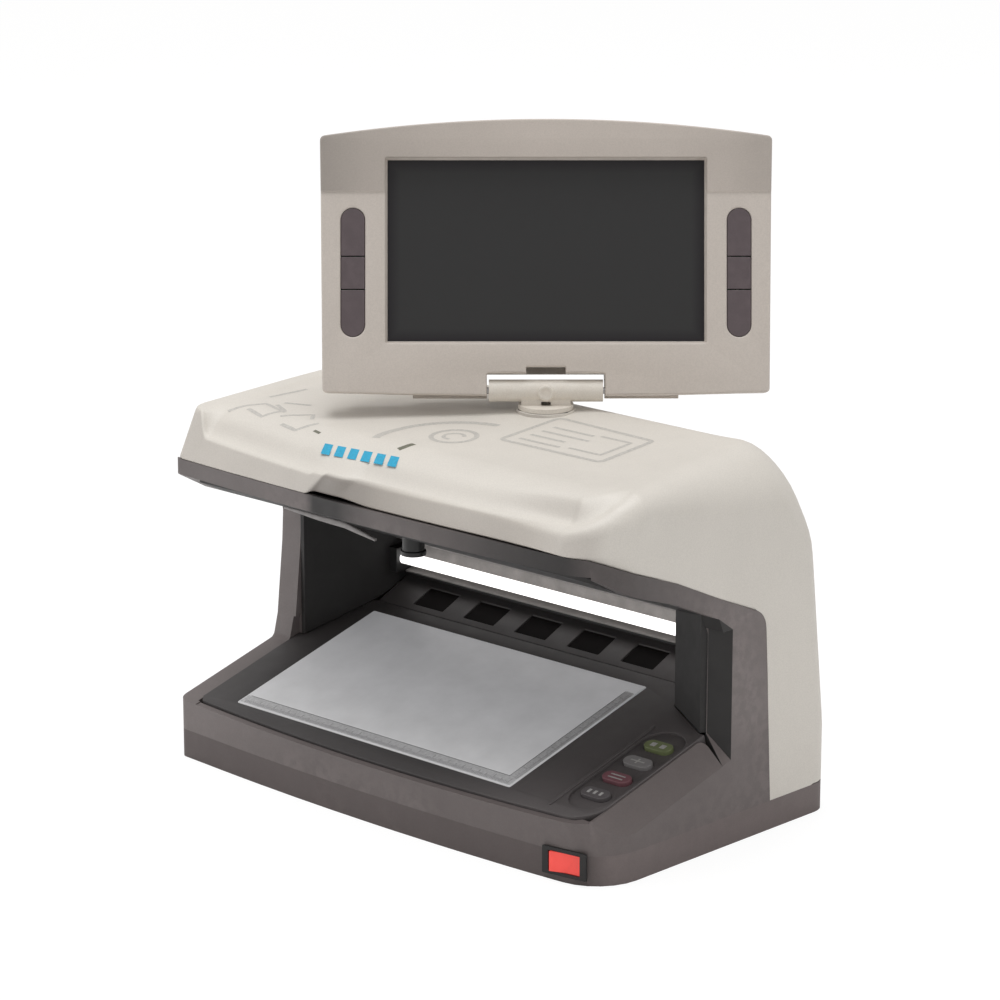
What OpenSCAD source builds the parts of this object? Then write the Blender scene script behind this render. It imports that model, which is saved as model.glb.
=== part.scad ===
// Counter-top banknote checker: a low sloped bed under an open-fronted hood,
// with a swivelling, tilting monitor on top.
// Millimetres, +Z up. Origin: centre of the footprint, on the resting plane.
// +X to the operator's right, -Y towards the operator.

/* [Body] */
// Width of the body
body_w = 286.5; // [280:0.5:290]
// Depth of the body at its sides, without the bow of the front
body_d = 165; // [160:1:170]
// How far the front bows out at the middle
front_bow = 6; // [2:1:8]
// Wall thickness of the mouldings
wall = 2.6; // [2.2:0.1:3]
// Height of the seam between the tray and the casing
seam_z = 14.5; // [13:0.5:16]

/* [Bed] */
// Slope of the bed, in degrees
bed_tilt = 15.4; // [13:0.2:17]
// Height of the bed surface at the front line
bed_z0 = 31.1; // [30:0.1:33]
// Width of the viewing plate
plate_w = 186.5; // [180:0.5:190]
// Length of the viewing plate along the slope
plate_l = 100; // [96:0.5:104]
// Sideways place of the viewing plate's centre
plate_x = -17.8; // [-20:0.1:-16]

/* [Hood] */
// Height of the flat top at its front
hood_z = 180.2; // [178:0.2:182]
// Height of the top at its rear edge
rear_z = 185.3; // [184:0.1:187]
// Height of the fascia's lower edge
fascia_z = 155.8; // [154:0.2:158]
// Height of the dark rim's lower edge
rim_z = 147; // [145:0.5:149]

/* [Monitor] */
// Swivel of the monitor at rest, in degrees
monitor_yaw = 43.5; // [0:0.5:60]
// Backward lean of the monitor at rest, in degrees
monitor_lean = 15; // [0:0.5:20]
// Width of the monitor at its top
monitor_w = 219.5; // [210:0.5:225]
// Width of the screen opening
screen_w = 156; // [154:0.5:158]
// Height of the screen opening
screen_h = 90; // [86:0.5:92]
// Travel of each monitor key
key_travel = 1; // [0.6:0.1:1.4]

/* [Hidden] */
$fn = 48;

right_x = 141.5;
left_x = right_x - body_w;
front_y = -77.5;
rear_y = front_y + body_d;
pad_t = 1.2;
floor_z = wall;
far = 300;

cover_grey = [0.83, 0.81, 0.77];
casing_grey = [0.36, 0.34, 0.33];
bed_black = [0.15, 0.15, 0.15];
board_green = [0.1, 0.35, 0.2];

// ---- outlines ----

function unit(v) = v / norm(v);
function xy(p) = [p[0], p[1]];
function wrap(a) = a > 180 ? a - 360 : (a < -180 ? a + 360 : a);

// Points that round the corner p1 between p0 and p2 with the radius p1[2].
function corner(p0, p1, p2, steps) =
    p1[2] == 0 ? [xy(p1)] :
    let(u = unit(xy(p0) - xy(p1)),
        v = unit(xy(p2) - xy(p1)),
        half = acos(u * v) / 2,
        start = xy(p1) + u * p1[2] / tan(half),
        end = xy(p1) + v * p1[2] / tan(half),
        centre = xy(p1) + unit(u + v) * p1[2] / sin(half),
        a0 = atan2(start[1] - centre[1], start[0] - centre[0]),
        sweep = wrap(atan2(end[1] - centre[1], end[0] - centre[0]) - a0))
    [for (i = [0:steps]) centre + p1[2] * [cos(a0 + sweep * i / steps), sin(a0 + sweep * i / steps)]];

// Closed outline from corners [x, y, radius].
function rounded(points, steps = 6) =
    let(n = len(points))
    [for (i = [0:n - 1])
        each corner(points[(i + n - 1) % n], points[i], points[(i + 1) % n], steps)];

function bow(x) = front_bow * (1 - pow(x / right_x, 2));

// The body's outline seen from above, pulled in by inset.
function plan(inset) =
    rounded(concat(
        [[left_x + inset, front_y + inset, max(5 - inset, 1)]],
        [for (x = [-126:14:110]) [x, front_y + inset - bow(x), 0]],
        [[right_x - inset, front_y + inset, max(25 - inset, 1)],
         [right_x - inset, rear_y - inset, max(12 - inset, 1)],
         [left_x + inset, rear_y - inset, max(12 - inset, 1)]]));

module plan_solid(inset, z0, z1)
    translate([0, 0, z0]) linear_extrude(z1 - z0) polygon(plan(inset));

// A side view (y, z) drawn out from x0 to x1.
module side_solid(points, x0 = -far, x1 = far)
    translate([x0, 0, 0]) rotate([90, 0, 90]) linear_extrude(x1 - x0) polygon(points);

// A view from the front (x, z) drawn out from y0 to y1.
module front_solid(points, y0, y1)
    translate([0, y1, 0]) rotate([90, 0, 0]) linear_extrude(y1 - y0) polygon(points);

module pill(length, width, height)
    linear_extrude(height)
        union() {
            square([length - width, width], center = true);
            for (side = [-1, 1])
                translate([side * (length - width) / 2, 0]) circle(d = width);
        }

// Bed frame of reference: x across, y up the slope from the front line, z out of the bed.
module on_bed()
    translate([0, front_y, bed_z0]) rotate([bed_tilt, 0, 0]) children();

function bed_z(y) = bed_z0 + (y - front_y) * tan(bed_tilt);

// ---- casing and cover ----

rear_screws = [[-138, 66], [134.5, 66]];
screw_spots = [[-138, -60], [134.5, -50], rear_screws[0], rear_screws[1]];
foot_spots = [[-112, -58], [112, -52], [-112, 58], [112, 58]];
switch_x = 119.5;
switch_y = -78.6;
switch_z = 9.7;
switch_turn = 9;
switch_w = 24;
switch_h = 13.2;
switch_body = [19.6, 11.4, 13];

module at_switch()
    translate([switch_x, switch_y, switch_z]) rotate([0, 0, switch_turn]) children();

module switch_opening()
    at_switch() translate([0, 4, 0]) cube([switch_body[0] + 0.2, 20, switch_body[1] + 0.2], center = true);

// Seat that lets the switch bezel lie flat across the rounded corner.
module switch_seat()
    at_switch() translate([0, -5, 0]) cube([switch_w + 0.2, 10, switch_h + 0.2], center = true);

module base_tray() color([0.34, 0.31, 0.30])
    difference() {
        union() {
            difference() {
                plan_solid(0, 0, seam_z);
                plan_solid(wall, floor_z, seam_z + 1);
            }
            for (p = screw_spots)
                translate([p[0], p[1], 0]) cylinder(r = 5, h = seam_z);
            for (x = [26, 94], y = [-4, 44])
                translate([x, y, 0]) cylinder(r = 3, h = 8);
            for (x = [-94, -36], y = [14, 40])
                translate([x, y, 0]) cylinder(r = 3, h = 8);
        }
        for (p = foot_spots)
            translate([p[0], p[1], -1]) cylinder(r = 7.2, h = pad_t + 1);
        for (p = screw_spots) {
            translate([p[0], p[1], -1]) cylinder(r = 1.7, h = 30);
            translate([p[0], p[1], -1]) cylinder(r = 3.2, h = 4.4);
        }
        for (x = [-70:20:70])
            translate([x - 1.5, -30, -1]) cube([3, 44, 10]);
        switch_opening();
        switch_seat();
    }

module rubber_feet() color([0.08, 0.08, 0.08])
    for (p = foot_spots)
        translate([p[0], p[1], 0])
            difference() {
                cylinder(r = 7, h = pad_t);
                translate([0, 0, -1]) cylinder(r = 3, h = 1.6);
            }

module case_screws() color([0.6, 0.6, 0.62])
    for (p = screw_spots)
        translate([p[0], p[1], 1.4])
            difference() {
                union() {
                    cylinder(r = 3, h = 2);
                    cylinder(r = 1.5, h = 20);
                }
                for (turn = [0, 90])
                    rotate(turn) translate([-2, -0.35, -1]) cube([4, 0.7, 2]);
            }

// Edge between the light cover and the dark casing, front to foot, in the side view.
cover_edge = [[-90, fascia_z, 0], [-75, fascia_z - 1.2, 0], [-57, 147, 0], [-27.5, 136.4, 0],
    [2, 123, 0], [35.8, 108.5, 11], [41.4, seam_z, 0]];
// Lower edge of the casing's arms, foot to front, in the side view.
arm_edge = [[9.4, 108.5, 0], [2, 113, 0], [-27.5, 126, 0], [-57, 136, 0], [-77, rim_z, 0], [-90, rim_z, 0]];
left_pillar = [[-9, 60, 9], [-5, 98, 0], [-4, 117, 5]];
right_pillar = [[6, 40, 0], [6.5, 103, 5]];

function side_frame(pillar) = rounded(concat(
    [for (i = [len(cover_edge) - 1:-1:0]) cover_edge[i]],
    [for (i = [len(arm_edge) - 1:-1:0]) if (arm_edge[i][0] < pillar[len(pillar) - 1][0] - 2) arm_edge[i]],
    [for (i = [len(pillar) - 1:-1:0]) pillar[i]],
    [[pillar[0][0] - 3, bed_z(pillar[0][0] - 3) - 1, 4], [-90, bed_z(-90) - 1, 0], [-90, seam_z, 0]]));

// Corners of the chamber's inner face seen from above, left front round to right front.
liner_path = [[-129, -4.9], [-117.5, 44.8], [-117.5, 58], [99.6, 58], [99.6, 19.7], [127.9, 5.1]];
liner_outer = [[130.4, 7.2], [102.2, 21.6], [102.2, 60.6], [-120.1, 60.6], [-120.1, 45.1], [-131.4, -4.9]];

// Outline of the bed frame seen from above.
function bed_plan(gap) = concat(
    [[-133 - gap, -5.1 + gap], [-133 - gap, front_y + 3 - gap - bow(-133)]],
    [for (x = [-126:14:112]) [x, front_y + 3 - gap - bow(x)]],
    [[122, -75.4 - gap], [127.5, -71 - gap], [130.8 + gap, -64], [130.8 + gap, 4.9 + gap],
     [128.2 + gap, 4.9 + gap], [99.4 + gap, 19.5 + gap], [99.4 + gap, 36 + gap],
     [-119.3 - gap, 36 + gap], [-128.8 - gap, -5.1 + gap]]);

bed_t = 5;

module bed_block(gap, above)
    intersection() {
        translate([0, 0, 1]) linear_extrude(far) polygon(bed_plan(gap));
        on_bed() translate([-far / 2, -20, -bed_t]) cube([far, 160, bed_t + above]);
    }

module mid_casing() color(casing_grey)
    difference() {
        intersection() {
            plan_solid(0, seam_z, fascia_z);
            union() {
                side_solid(side_frame(left_pillar), -far, -131.6);
                side_solid(side_frame(right_pillar), 130.6, far);
                // apron under the bed
                side_solid([[-90, seam_z], [41.4, seam_z], [36, bed_z(36) - 6], [-90, bed_z(-90) - 1]],
                    -131.6, 130.6);
                // rim along the front of the hood
                side_solid([[-90, rim_z], [-66, rim_z], [-66, 150.8], [-75, fascia_z - 1.2], [-90, fascia_z]]);
            }
        }
        // hollow under the bed
        intersection() {
            plan_solid(wall, 0, far);
            on_bed() {
                translate([-128, -20, -far]) cube([252, 138, far - bed_t - 1.5]);
                translate([0, 16, -far]) cube([far, 102, far - 24]);
            }
        }
        // hollow behind the front rim
        difference() {
            plan_solid(5, rim_z - 1, far);
            for (side = [-1, 1])
                translate([side * (far + 131) - far, -far, 0]) cube([2 * far, 2 * far, far]);
        }
        // rebate for the bed frame, and the openings in the apron's top behind it
        bed_block(0.15, 10);
        on_bed() translate([-124, 4, -20]) cube([253.5, 107, 20]);
        // sloped shoulder outside the push buttons, up to the slanted front of the right pillar
        intersection() {
            on_bed() rotate([90, 0, 0]) translate([0, 0, -109])
                linear_extrude(144) polygon([[131, 0.01], [131, 60], [170, 60], [170, -49.5]]);
            translate([0, -far, 0]) linear_extrude(106)
                polygon([[0, 0], [far, 0], [far, far + 12], [141.4, far + 12], [127.9, far + 5.1], [0, far + 5.1]]);
        }
        for (p = screw_spots)
            translate([p[0], p[1], 0]) cylinder(r = 1.5, h = 21.4);
        switch_opening();
        switch_seat();
    }

// Underside of the ceiling in the side view, front to rear.
ceiling = [[-77, 145.5], [-57, 136], [-27.5, 126], [2, 113], [14, 107.5], [40, 99], [60.6, 96.5]];
ceiling_t = 2.4;

module above_ceiling(shift = 0)
    side_solid(concat([for (p = ceiling) [p[0], p[1] + shift]],
        [[60.6 + 40, 96.5 + shift], [100, far], [-100, far], [-100, 150 + shift]]));

// Floor line that the chamber's walls stand on: the bed, then the window panel.
panel_y0 = 36.2;
panel_y1 = 57.8;
panel_rise = 24;
panel_z0 = bed_z(panel_y0);
panel_z1 = panel_z0 + (panel_y1 - panel_y0) * tan(panel_rise);

module chamber_liner() color(bed_black)
    difference() {
        union() {
            linear_extrude(120) polygon(concat(liner_path, liner_outer));
            for (x = [-84, 84], z = [72, 92])
                translate([x, 60, z]) rotate([-90, 0, 0]) cylinder(r = 2.5, h = 4);
        }
        above_ceiling();
        side_solid([[-90, 0], [-90, bed_z(-90)], [panel_y0, panel_z0], [panel_y1 + 0.2, panel_z1],
            [panel_y1 + 0.2, 60], [90, 60], [90, 0]]);
    }

camera_x = plate_x;
camera_y = -38;
camera_z = 121.5;

module ceiling_panel() color([0.22, 0.2, 0.2])
    difference() {
        intersection() {
            above_ceiling();
            plan_solid(5.1, 80, 160);
            translate([-131.2, -far, 0]) cube([261.6, far + 60.6, far]);
        }
        above_ceiling(ceiling_t);
        translate([camera_x, camera_y, 100]) cylinder(r = 5.6, h = 60);
        translate([camera_x - 46, camera_y - 8, 100]) cube([26, 5, 60]);
    }

function cover_top(inset) = [
    [-90, 166 - inset, 0], [-53, hood_z - inset, 30], [71.5 - inset, rear_z - inset, 30 - inset],
    [rear_y + 0.2 - inset, 46, 0], [rear_y + 1 - inset, seam_z, 0]];

function cover_front(inset) = rounded([
    [left_x + inset, 0, 0], [right_x - inset, 0, 0], [right_x - inset, rear_z - inset, 14 - inset],
    [left_x + inset, rear_z - inset, 5 - inset / 2]]);

swivel_y = 36.3;
seat_z = 180.7;
hub_z = 192.7;
hinge_r = 14.5;
hinge_screw_x = 11.8;
inlet = [27, 20, 19];
inlet_x = 95;
socket_z = 32;
socket_xs = [38, 56];

module top_cover() color(cover_grey)
    difference() {
        union() {
            difference() {
                intersection() {
                    plan_solid(0, seam_z, far);
                    side_solid(rounded(concat(cover_top(0),
                        [for (i = [len(cover_edge) - 1:-1:0]) cover_edge[i]])));
                    front_solid(cover_front(0), -100, 100);
                }
                intersection() {
                    union() {
                        plan_solid(5, 0, far);
                        intersection() {
                            plan_solid(wall, 0, far);
                            translate([-far, -70, 0]) cube([2 * far, far, far]);
                        }
                    }
                    side_solid(rounded(concat(cover_top(wall), [[rear_y + 1 - wall, 0, 0], [-90, 0, 0]])));
                    front_solid(cover_front(wall), -100, 100);
                }
            }
            for (p = rear_screws)
                translate([p[0], p[1], seam_z]) cylinder(r = 4.8, h = 12);
            // boss under the monitor's hinge
            translate([0, swivel_y, 177.2]) cylinder(r = 19, h = 5.8);
        }
        // shallow recess along the fascia
        intersection() {
            difference() {
                plan_solid(-5, fascia_z - 1, 169);
                plan_solid(2, 0, far);
            }
            front_solid([[-48, 150], [113, 150], [113, 166], [109, 169], [-36, 169]], -100, -70);
        }
        for (p = rear_screws)
            translate([p[0], p[1], 0]) cylinder(r = 1.5, h = 21.4);
        translate([0, swivel_y, seat_z]) cylinder(r = hinge_r + 0.2, h = 20);
        translate([0, swivel_y, 150]) cylinder(r = 9.6, h = 60);
        for (turn = [0, 120, 240])
            translate([0, swivel_y, 150]) rotate(turn) translate([hinge_screw_x, 0, 0]) cylinder(r = 1.1, h = 60);
        translate([inlet_x, rear_y - 2, socket_z]) cube([inlet[0] + 0.2, 20, inlet[2] + 0.2], center = true);
        for (x = socket_xs)
            translate([x, rear_y + 5, socket_z]) rotate([90, 0, 0]) cylinder(r = 4.7, h = 20);
    }

// ---- bed ----

plate_s = 8.5;
plate_t = 3;
ledge = 3;
strip_x = 117.6;
strip_l = 72;
strip_s = 45;
button_pitch = 15.1;
button_s0 = 22.3;
button_size = [16, 7.4];
button_travel = 0.7;

module bed_frame() color(bed_black)
    difference() {
        union() {
            bed_block(0, 0);
            on_bed() translate([103, 5, -1]) cube([1.6, 76, 1.8]);
            on_bed()
                for (s = [button_s0 - 9, button_s0 + 3 * button_pitch + 9])
                    translate([strip_x, s, -6]) cylinder(r = 2, h = 2);
        }
        on_bed() {
            translate([plate_x - plate_w / 2, plate_s, -plate_t]) cube([plate_w, plate_l, 20]);
            translate([plate_x - plate_w / 2 + ledge, plate_s + ledge, -20])
                cube([plate_w - 2 * ledge, plate_l - 2 * ledge, 40]);
            translate([strip_x, strip_s, -1.4]) rotate(90) pill(strip_l, 24, 10);
            for (i = [0:3])
                translate([strip_x, button_s0 + i * button_pitch, 0]) {
                    translate([0, 0, -20]) pill(button_size[0] + 0.4, button_size[1] + 0.4, 40);
                    translate([0, 0, -bed_t - 1]) pill(button_size[0] + 2.4, button_size[1] + 2.4, 2.6);
                }
        }
    }

module viewing_plate() color([0.75, 0.75, 0.75])
    on_bed() translate([plate_x - plate_w / 2 + 0.1, plate_s + 0.1, -plate_t])
        cube([plate_w - 0.2, plate_l - 0.2, plate_t + 0.3]);

module backlight_board() color(board_green)
    on_bed() translate([plate_x - plate_w / 2 + 1, plate_s + 1, -bed_t]) {
        translate([0, 0, -1.6]) cube([plate_w - 2, plate_l - 2, 1.6]);
        for (i = [0:9], j = [0:4])
            translate([11 + i * 18, 10 + j * 19, 0]) cube([3.5, 3.5, 1.2]);
    }

module mode_button(i, colour) color(colour)
    on_bed() translate([strip_x, button_s0 + i * button_pitch, 0]) {
        translate([0, 0, -3.6]) pill(button_size[0], button_size[1], 4.2);
        translate([0, 0, -4.2]) pill(button_size[0] + 1.8, button_size[1] + 1.8, 0.7);
    }

module mode_button_grey() mode_button(0, [0.45, 0.44, 0.44]);
module mode_button_red() mode_button(1, [0.62, 0.3, 0.34]);
module mode_button_white() mode_button(2, [0.72, 0.72, 0.7]);
module mode_button_green() mode_button(3, [0.45, 0.55, 0.32]);

module button_board() color(board_green)
    on_bed() translate([strip_x, 0, 0]) {
        translate([-11, button_s0 - 14, -7.6]) cube([22, 3 * button_pitch + 28, 1.6]);
        for (i = [0:3])
            translate([0, button_s0 + i * button_pitch, -6.1]) {
                translate([-3, -3, 0]) cube([6, 6, 0.8]);
                cylinder(r = 1.6, h = 1.1);
            }
    }

module on_panel()
    translate([0, panel_y0, panel_z0]) rotate([panel_rise, 0, 0]) children();

panel_l = (panel_y1 - panel_y0) / cos(panel_rise);
window = [21, 14.5];
window_pitch = 35.6;
window_s = panel_l / 2 - 0.5;

module at_windows()
    for (i = [-2:2])
        translate([-14 + i * window_pitch, window_s, 0]) children();

module window_panel() color([0.2, 0.19, 0.19])
    intersection() {
        on_panel() difference() {
            translate([-117.2, 0, -2.4]) cube([216.6, panel_l + 2, 2.4]);
            at_windows() translate([-window[0] / 2, -window[1] / 2, -20]) cube([window[0], window[1], 40]);
        }
        translate([-far, panel_y0 - 2, 0]) cube([2 * far, panel_y1 - panel_y0 + 2, far]);
    }

module sensor_windows() color([0.07, 0.04, 0.05])
    on_panel() at_windows()
        translate([-window[0] / 2 + 0.1, -window[1] / 2 + 0.1, -2.4])
            cube([window[0] - 0.2, window[1] - 0.2, 1.6]);

module sensor_board() color(board_green)
    on_panel() {
        translate([-96, 2.5, -9.4]) cube([164, window[1], 1.6]);
        at_windows()
            for (side = [-5, 5])
                translate([side, 0, -7.9]) cylinder(r = 2.5, h = 4.2);
        for (x = [-94, 62])
            translate([x, 7, -8]) cube([3, 6, 5.6]);
    }

// ---- lamp and camera ----

lamp_y = 50;
lamp_z = 83.5;
lamp_r = 3.1;
lamp_x0 = -115.5;
lamp_x1 = 97.5;

module lamp_tube() color([0.97, 0.97, 0.97])
    translate([lamp_x0, lamp_y, lamp_z]) rotate([0, 90, 0]) {
        cylinder(r = lamp_r, h = lamp_x1 - lamp_x0);
    }

module lamp_holders() color([0.12, 0.12, 0.12])
    for (x = [-117.4, 93.9])
        difference() {
            translate([x, lamp_y - 5.5, lamp_z - 7]) cube([5.5, 13.5, 13]);
            translate([x - 1, lamp_y, lamp_z]) rotate([0, 90, 0]) cylinder(r = lamp_r + 0.05, h = 8);
        }

// Bent strip above and behind the lamp, in the side view.
reflector = [[42, 97.2], [57.2, 90.6], [57.2, 77.2], [50.5, 76], [50.5, 76.8], [56.4, 77.9], [56.4, 90.1],
    [42, 96.4]];
module lamp_reflector() color([0.55, 0.55, 0.54])
    side_solid(reflector, -111.6, 93.6);

camera_top = 138;
module camera_barrel() color([0.05, 0.05, 0.05])
    translate([camera_x, camera_y, camera_z])
        difference() {
            union() {
                cylinder(r = 5.4, h = camera_top - camera_z);
                cylinder(r = 6.2, h = 2.4);
            }
            translate([0, 0, -1]) cylinder(r = 4.2, h = 4);
        }

module camera_lens() color([0.15, 0.17, 0.3])
    translate([camera_x, camera_y, camera_z + 0.6])
        union() {
            translate([0, 0, 0.6]) cylinder(r = 4.2, h = 1.8);
            cylinder(r1 = 2.6, r2 = 4.2, h = 0.6);
        }

module camera_board() color(board_green)
    translate([camera_x, camera_y, camera_top]) {
        translate([-15, -15, 0]) cube([30, 30, 1.6]);
        translate([-5, -5, 1.6]) cube([10, 10, 1.5]);
        intersection() {
            for (x = [-12, 12])
                translate([x, 12.5, -20]) cylinder(r = 2, h = 20.5);
            translate([-camera_x, -camera_y, -camera_top]) above_ceiling(ceiling_t);
        }
    }

// ---- switch, boards and sockets ----

module switch_bezel() color([0.05, 0.05, 0.05])
    at_switch() difference() {
        union() {
            translate([0, -0.75, 0]) cube([switch_w, 1.5, switch_h], center = true);
            translate([0, switch_body[2] / 2, 0]) cube([switch_body[0], switch_body[2], switch_body[1]], center = true);
        }
        translate([0, 1.5, 0]) cube([17.2, 9.2, 9.8], center = true);
        translate([0, -2, 0]) cube([17.2, 4, 9.8], center = true);
        translate([0, rocker_axis, -5.35]) cylinder(r = 0.85, h = 10.7);
    }

rocker_axis = 1.8;
rocker_tilt = 7;
module switch_rocker() color([0.85, 0.1, 0.08])
    at_switch() translate([0, rocker_axis, 0]) rotate([0, 0, rocker_tilt])
        union() {
            translate([0, 0, -4.8]) linear_extrude(9.6)
                polygon([[-7.9, -3.4], [0, -2.5], [7.9, -3.4], [7.3, 0.6], [0, 2.6], [-7.3, 0.6]]);
            translate([0, 0, -5.3]) cylinder(r = 0.8, h = 10.6);
        }

module power_supply() color(board_green) {
    translate([22, -8, 8]) cube([76, 56, 1.6]);
    translate([62, 6, 9.5]) cube([30, 26, 22]);
    translate([30, 30, 9.5]) cylinder(r = 6, h = 18);
    translate([46, 30, 9.5]) cylinder(r = 5, h = 14);
    translate([28, -2, 9.5]) cube([24, 3, 16]);
}

module lamp_ballast() color(board_green) {
    translate([-98, 10, 8]) cube([66, 34, 1.6]);
    translate([-90, 18, 9.5]) cube([18, 18, 14]);
    translate([-60, 27, 9.5]) cylinder(r = 5, h = 12);
    translate([-46, 27, 9.5]) cylinder(r = 5, h = 12);
}

module main_board() color(board_green) {
    translate([-92, 64, 50]) cube([184, 1.6, 98]);
    translate([-30, 65.5, 90]) cube([28, 2, 28]);
    translate([20, 65.5, 96]) cube([18, 1.6, 12]);
    translate([-76, 65.5, 60]) cube([20, 4, 9]);
}

module power_inlet() color([0.06, 0.06, 0.06])
    translate([inlet_x, rear_y + 0.6, socket_z])
        difference() {
            union() {
                translate([0, -inlet[1] / 2, 0]) cube([inlet[0], inlet[1], inlet[2]], center = true);
                translate([0, -0.3, 0]) cube([inlet[0] + 4, 0.6, inlet[2] + 4], center = true);
            }
            translate([0, -6, 0]) cube([inlet[0] - 5, 14, inlet[2] - 5], center = true);
        }

module signal_sockets() color([0.75, 0.6, 0.25])
    for (x = socket_xs)
        translate([x, rear_y + 0.6, socket_z]) rotate([90, 0, 0])
            difference() {
                union() {
                    cylinder(r = 4.6, h = 14);
                    cylinder(r = 6, h = 0.6);
                }
                translate([0, 0, -1]) cylinder(r = 3, h = 11);
            }

// ---- monitor hinge ----

module at_swivel()
    translate([0, swivel_y, 0]) rotate([0, 0, monitor_yaw]) children();

// Monitor frame of reference: x along its width, y to its back, z up its face; origin on the pin.
module at_tilt()
    translate([0, swivel_y, hub_z]) rotate([0, 0, monitor_yaw]) rotate([-monitor_lean, 0, 0]) children();

spindle_r = 7;
run_gap = 0.05;
pin_r = 1.6;
barrel_r = 5.4;
barrel_l = 55.6;
plate_top = seat_z + 3.2;

module hinge_plate() color([0.6, 0.58, 0.55])
    translate([0, swivel_y, 0])
        difference() {
            union() {
                translate([0, 0, seat_z]) cylinder(r = hinge_r, h = 3.2);
                translate([0, 0, 172]) cylinder(r = 9.5, h = 10);
            }
            translate([0, 0, 150]) cylinder(r = spindle_r + run_gap, h = 60);
            for (turn = [0, 120, 240])
                rotate(turn) translate([hinge_screw_x, 0, 150]) {
                    cylinder(r = 1.3, h = 60);
                    translate([0, 0, plate_top - 150 - 1.8]) cylinder(r = 2.2, h = 5);
                }
        }

module hinge_screws() color([0.6, 0.6, 0.62])
    for (turn = [0, 120, 240])
        translate([0, swivel_y, 0]) rotate(turn) translate([hinge_screw_x, 0, 0])
            difference() {
                union() {
                    translate([0, 0, 174]) cylinder(r = 1.1, h = plate_top - 174 - 0.2);
                    translate([0, 0, plate_top - 1.8]) cylinder(r = 2, h = 1.6);
                }
                for (cross = [0, 90])
                    rotate(cross) translate([-1.8, -0.3, plate_top - 1]) cube([3.6, 0.6, 2]);
            }

module hinge_knuckle() color([0.72, 0.69, 0.64])
    at_swivel() difference() {
        union() {
            translate([0, 0, 166]) cylinder(r = spindle_r, h = 20);
            translate([0, 0, plate_top + 0.2]) cylinder(r = 13.5, h = 2.2);
            translate([-12, -4, plate_top + 1]) cube([24, 8, hub_z - plate_top - 1]);
            translate([-barrel_l / 2, 0, hub_z]) rotate([0, 90, 0]) cylinder(r = barrel_r, h = barrel_l);
        }
        translate([-barrel_l, 0, hub_z]) rotate([0, 90, 0]) cylinder(r = pin_r + run_gap, h = 2 * barrel_l);
        translate([0, 0, 160]) cylinder(r = 4.6, h = 28);
    }

module swivel_nut() color([0.6, 0.6, 0.62])
    translate([0, swivel_y, 168.6])
        difference() {
            cylinder(r = 11, h = 3.3, $fn = 6);
            translate([0, 0, -1]) cylinder(r = spindle_r, h = 10);
        }

pin_l = 78;
module hinge_pin() color([0.6, 0.6, 0.62])
    at_tilt() translate([-pin_l / 2, 0, 0]) rotate([0, 90, 0]) cylinder(r = pin_r, h = pin_l);

// ---- monitor ----

face_y = -5.6;
split_y = 4.4;
back_y = 19;
bulge_y = 24;
screen_z = 23;
bottom_z = -2.8;
corner_z = 123.3;
crown_z = 131.5;
notch_w = 57.6;
key_x = 93.9;
key_w = 11.5;
key_z = [26.1, 49, 65.1, 88.5];

// Height of the arched top edge at x.
function arch(x) = crown_z - (crown_z - corner_z) * pow(2 * x / monitor_w, 2);

// Front view of the monitor, pulled in by inset.
function monitor_outline(inset) = rounded(concat(
    [[-monitor_w / 2 + 1 + inset, -1 + inset, 2], [0, bottom_z + inset, 0],
     [monitor_w / 2 - 1 - inset, -1 + inset, 2], [monitor_w / 2 - inset, corner_z - inset, 2.5]],
    [for (x = [96:-12:-96]) [x, arch(x) - inset, 0]],
    [[-monitor_w / 2 + inset, corner_z - inset, 2.5]]), 3);

module monitor_slab(inset, y0, y1)
    front_solid(monitor_outline(inset), y0, y1);

module hinge_notch(top)
    translate([-notch_w / 2, -50, -20]) cube([notch_w, 100, 20 + top]);

module key_well(extra)
    for (side = [-1, 1])
        translate([side * key_x, face_y - 1, (key_z[0] + key_z[3]) / 2]) rotate([-90, 90, 0])
            pill(key_z[3] - key_z[0] + extra, key_w + extra, 30);

screw_posts = [[-100, 12], [100, 12], [-100, 110], [100, 110]];

module monitor_bezel() color([0.73, 0.7, 0.66])
    at_tilt() difference() {
        union() {
            difference() {
                monitor_slab(0, face_y, split_y);
                monitor_slab(2.4, face_y + 2.6, split_y + 1);
            }
            // raised lip around the screen opening
            translate([-screen_w / 2 - 2, face_y + 1, screen_z - 2]) cube([screen_w + 4, 2.8, screen_h + 4]);
            for (p = screw_posts)
                translate([p[0], face_y + 1, p[1]]) rotate([-90, 0, 0]) cylinder(r = 3, h = split_y - face_y - 1);
            // posts that the display panel is screwed to
            for (x = [-84.8, 84.8], z = [30, 100])
                translate([x - 1.7, face_y + 1, z]) cube([3.4, 8, 4]);
        }
        translate([-screen_w / 2, -20, screen_z]) cube([screen_w, 40, screen_h]);
        for (p = screw_posts)
            translate([p[0], face_y + 4, p[1]]) rotate([-90, 0, 0]) cylinder(r = 1.2, h = 20);
        key_well(0.4);
        hinge_notch(8);
        // pockets for the shell's ears
        for (side = [-1, 1])
            translate([side * (notch_w / 2 + 5) - 5.8, -4.4, -20]) cube([11.6, 20, 27]);
    }

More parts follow.
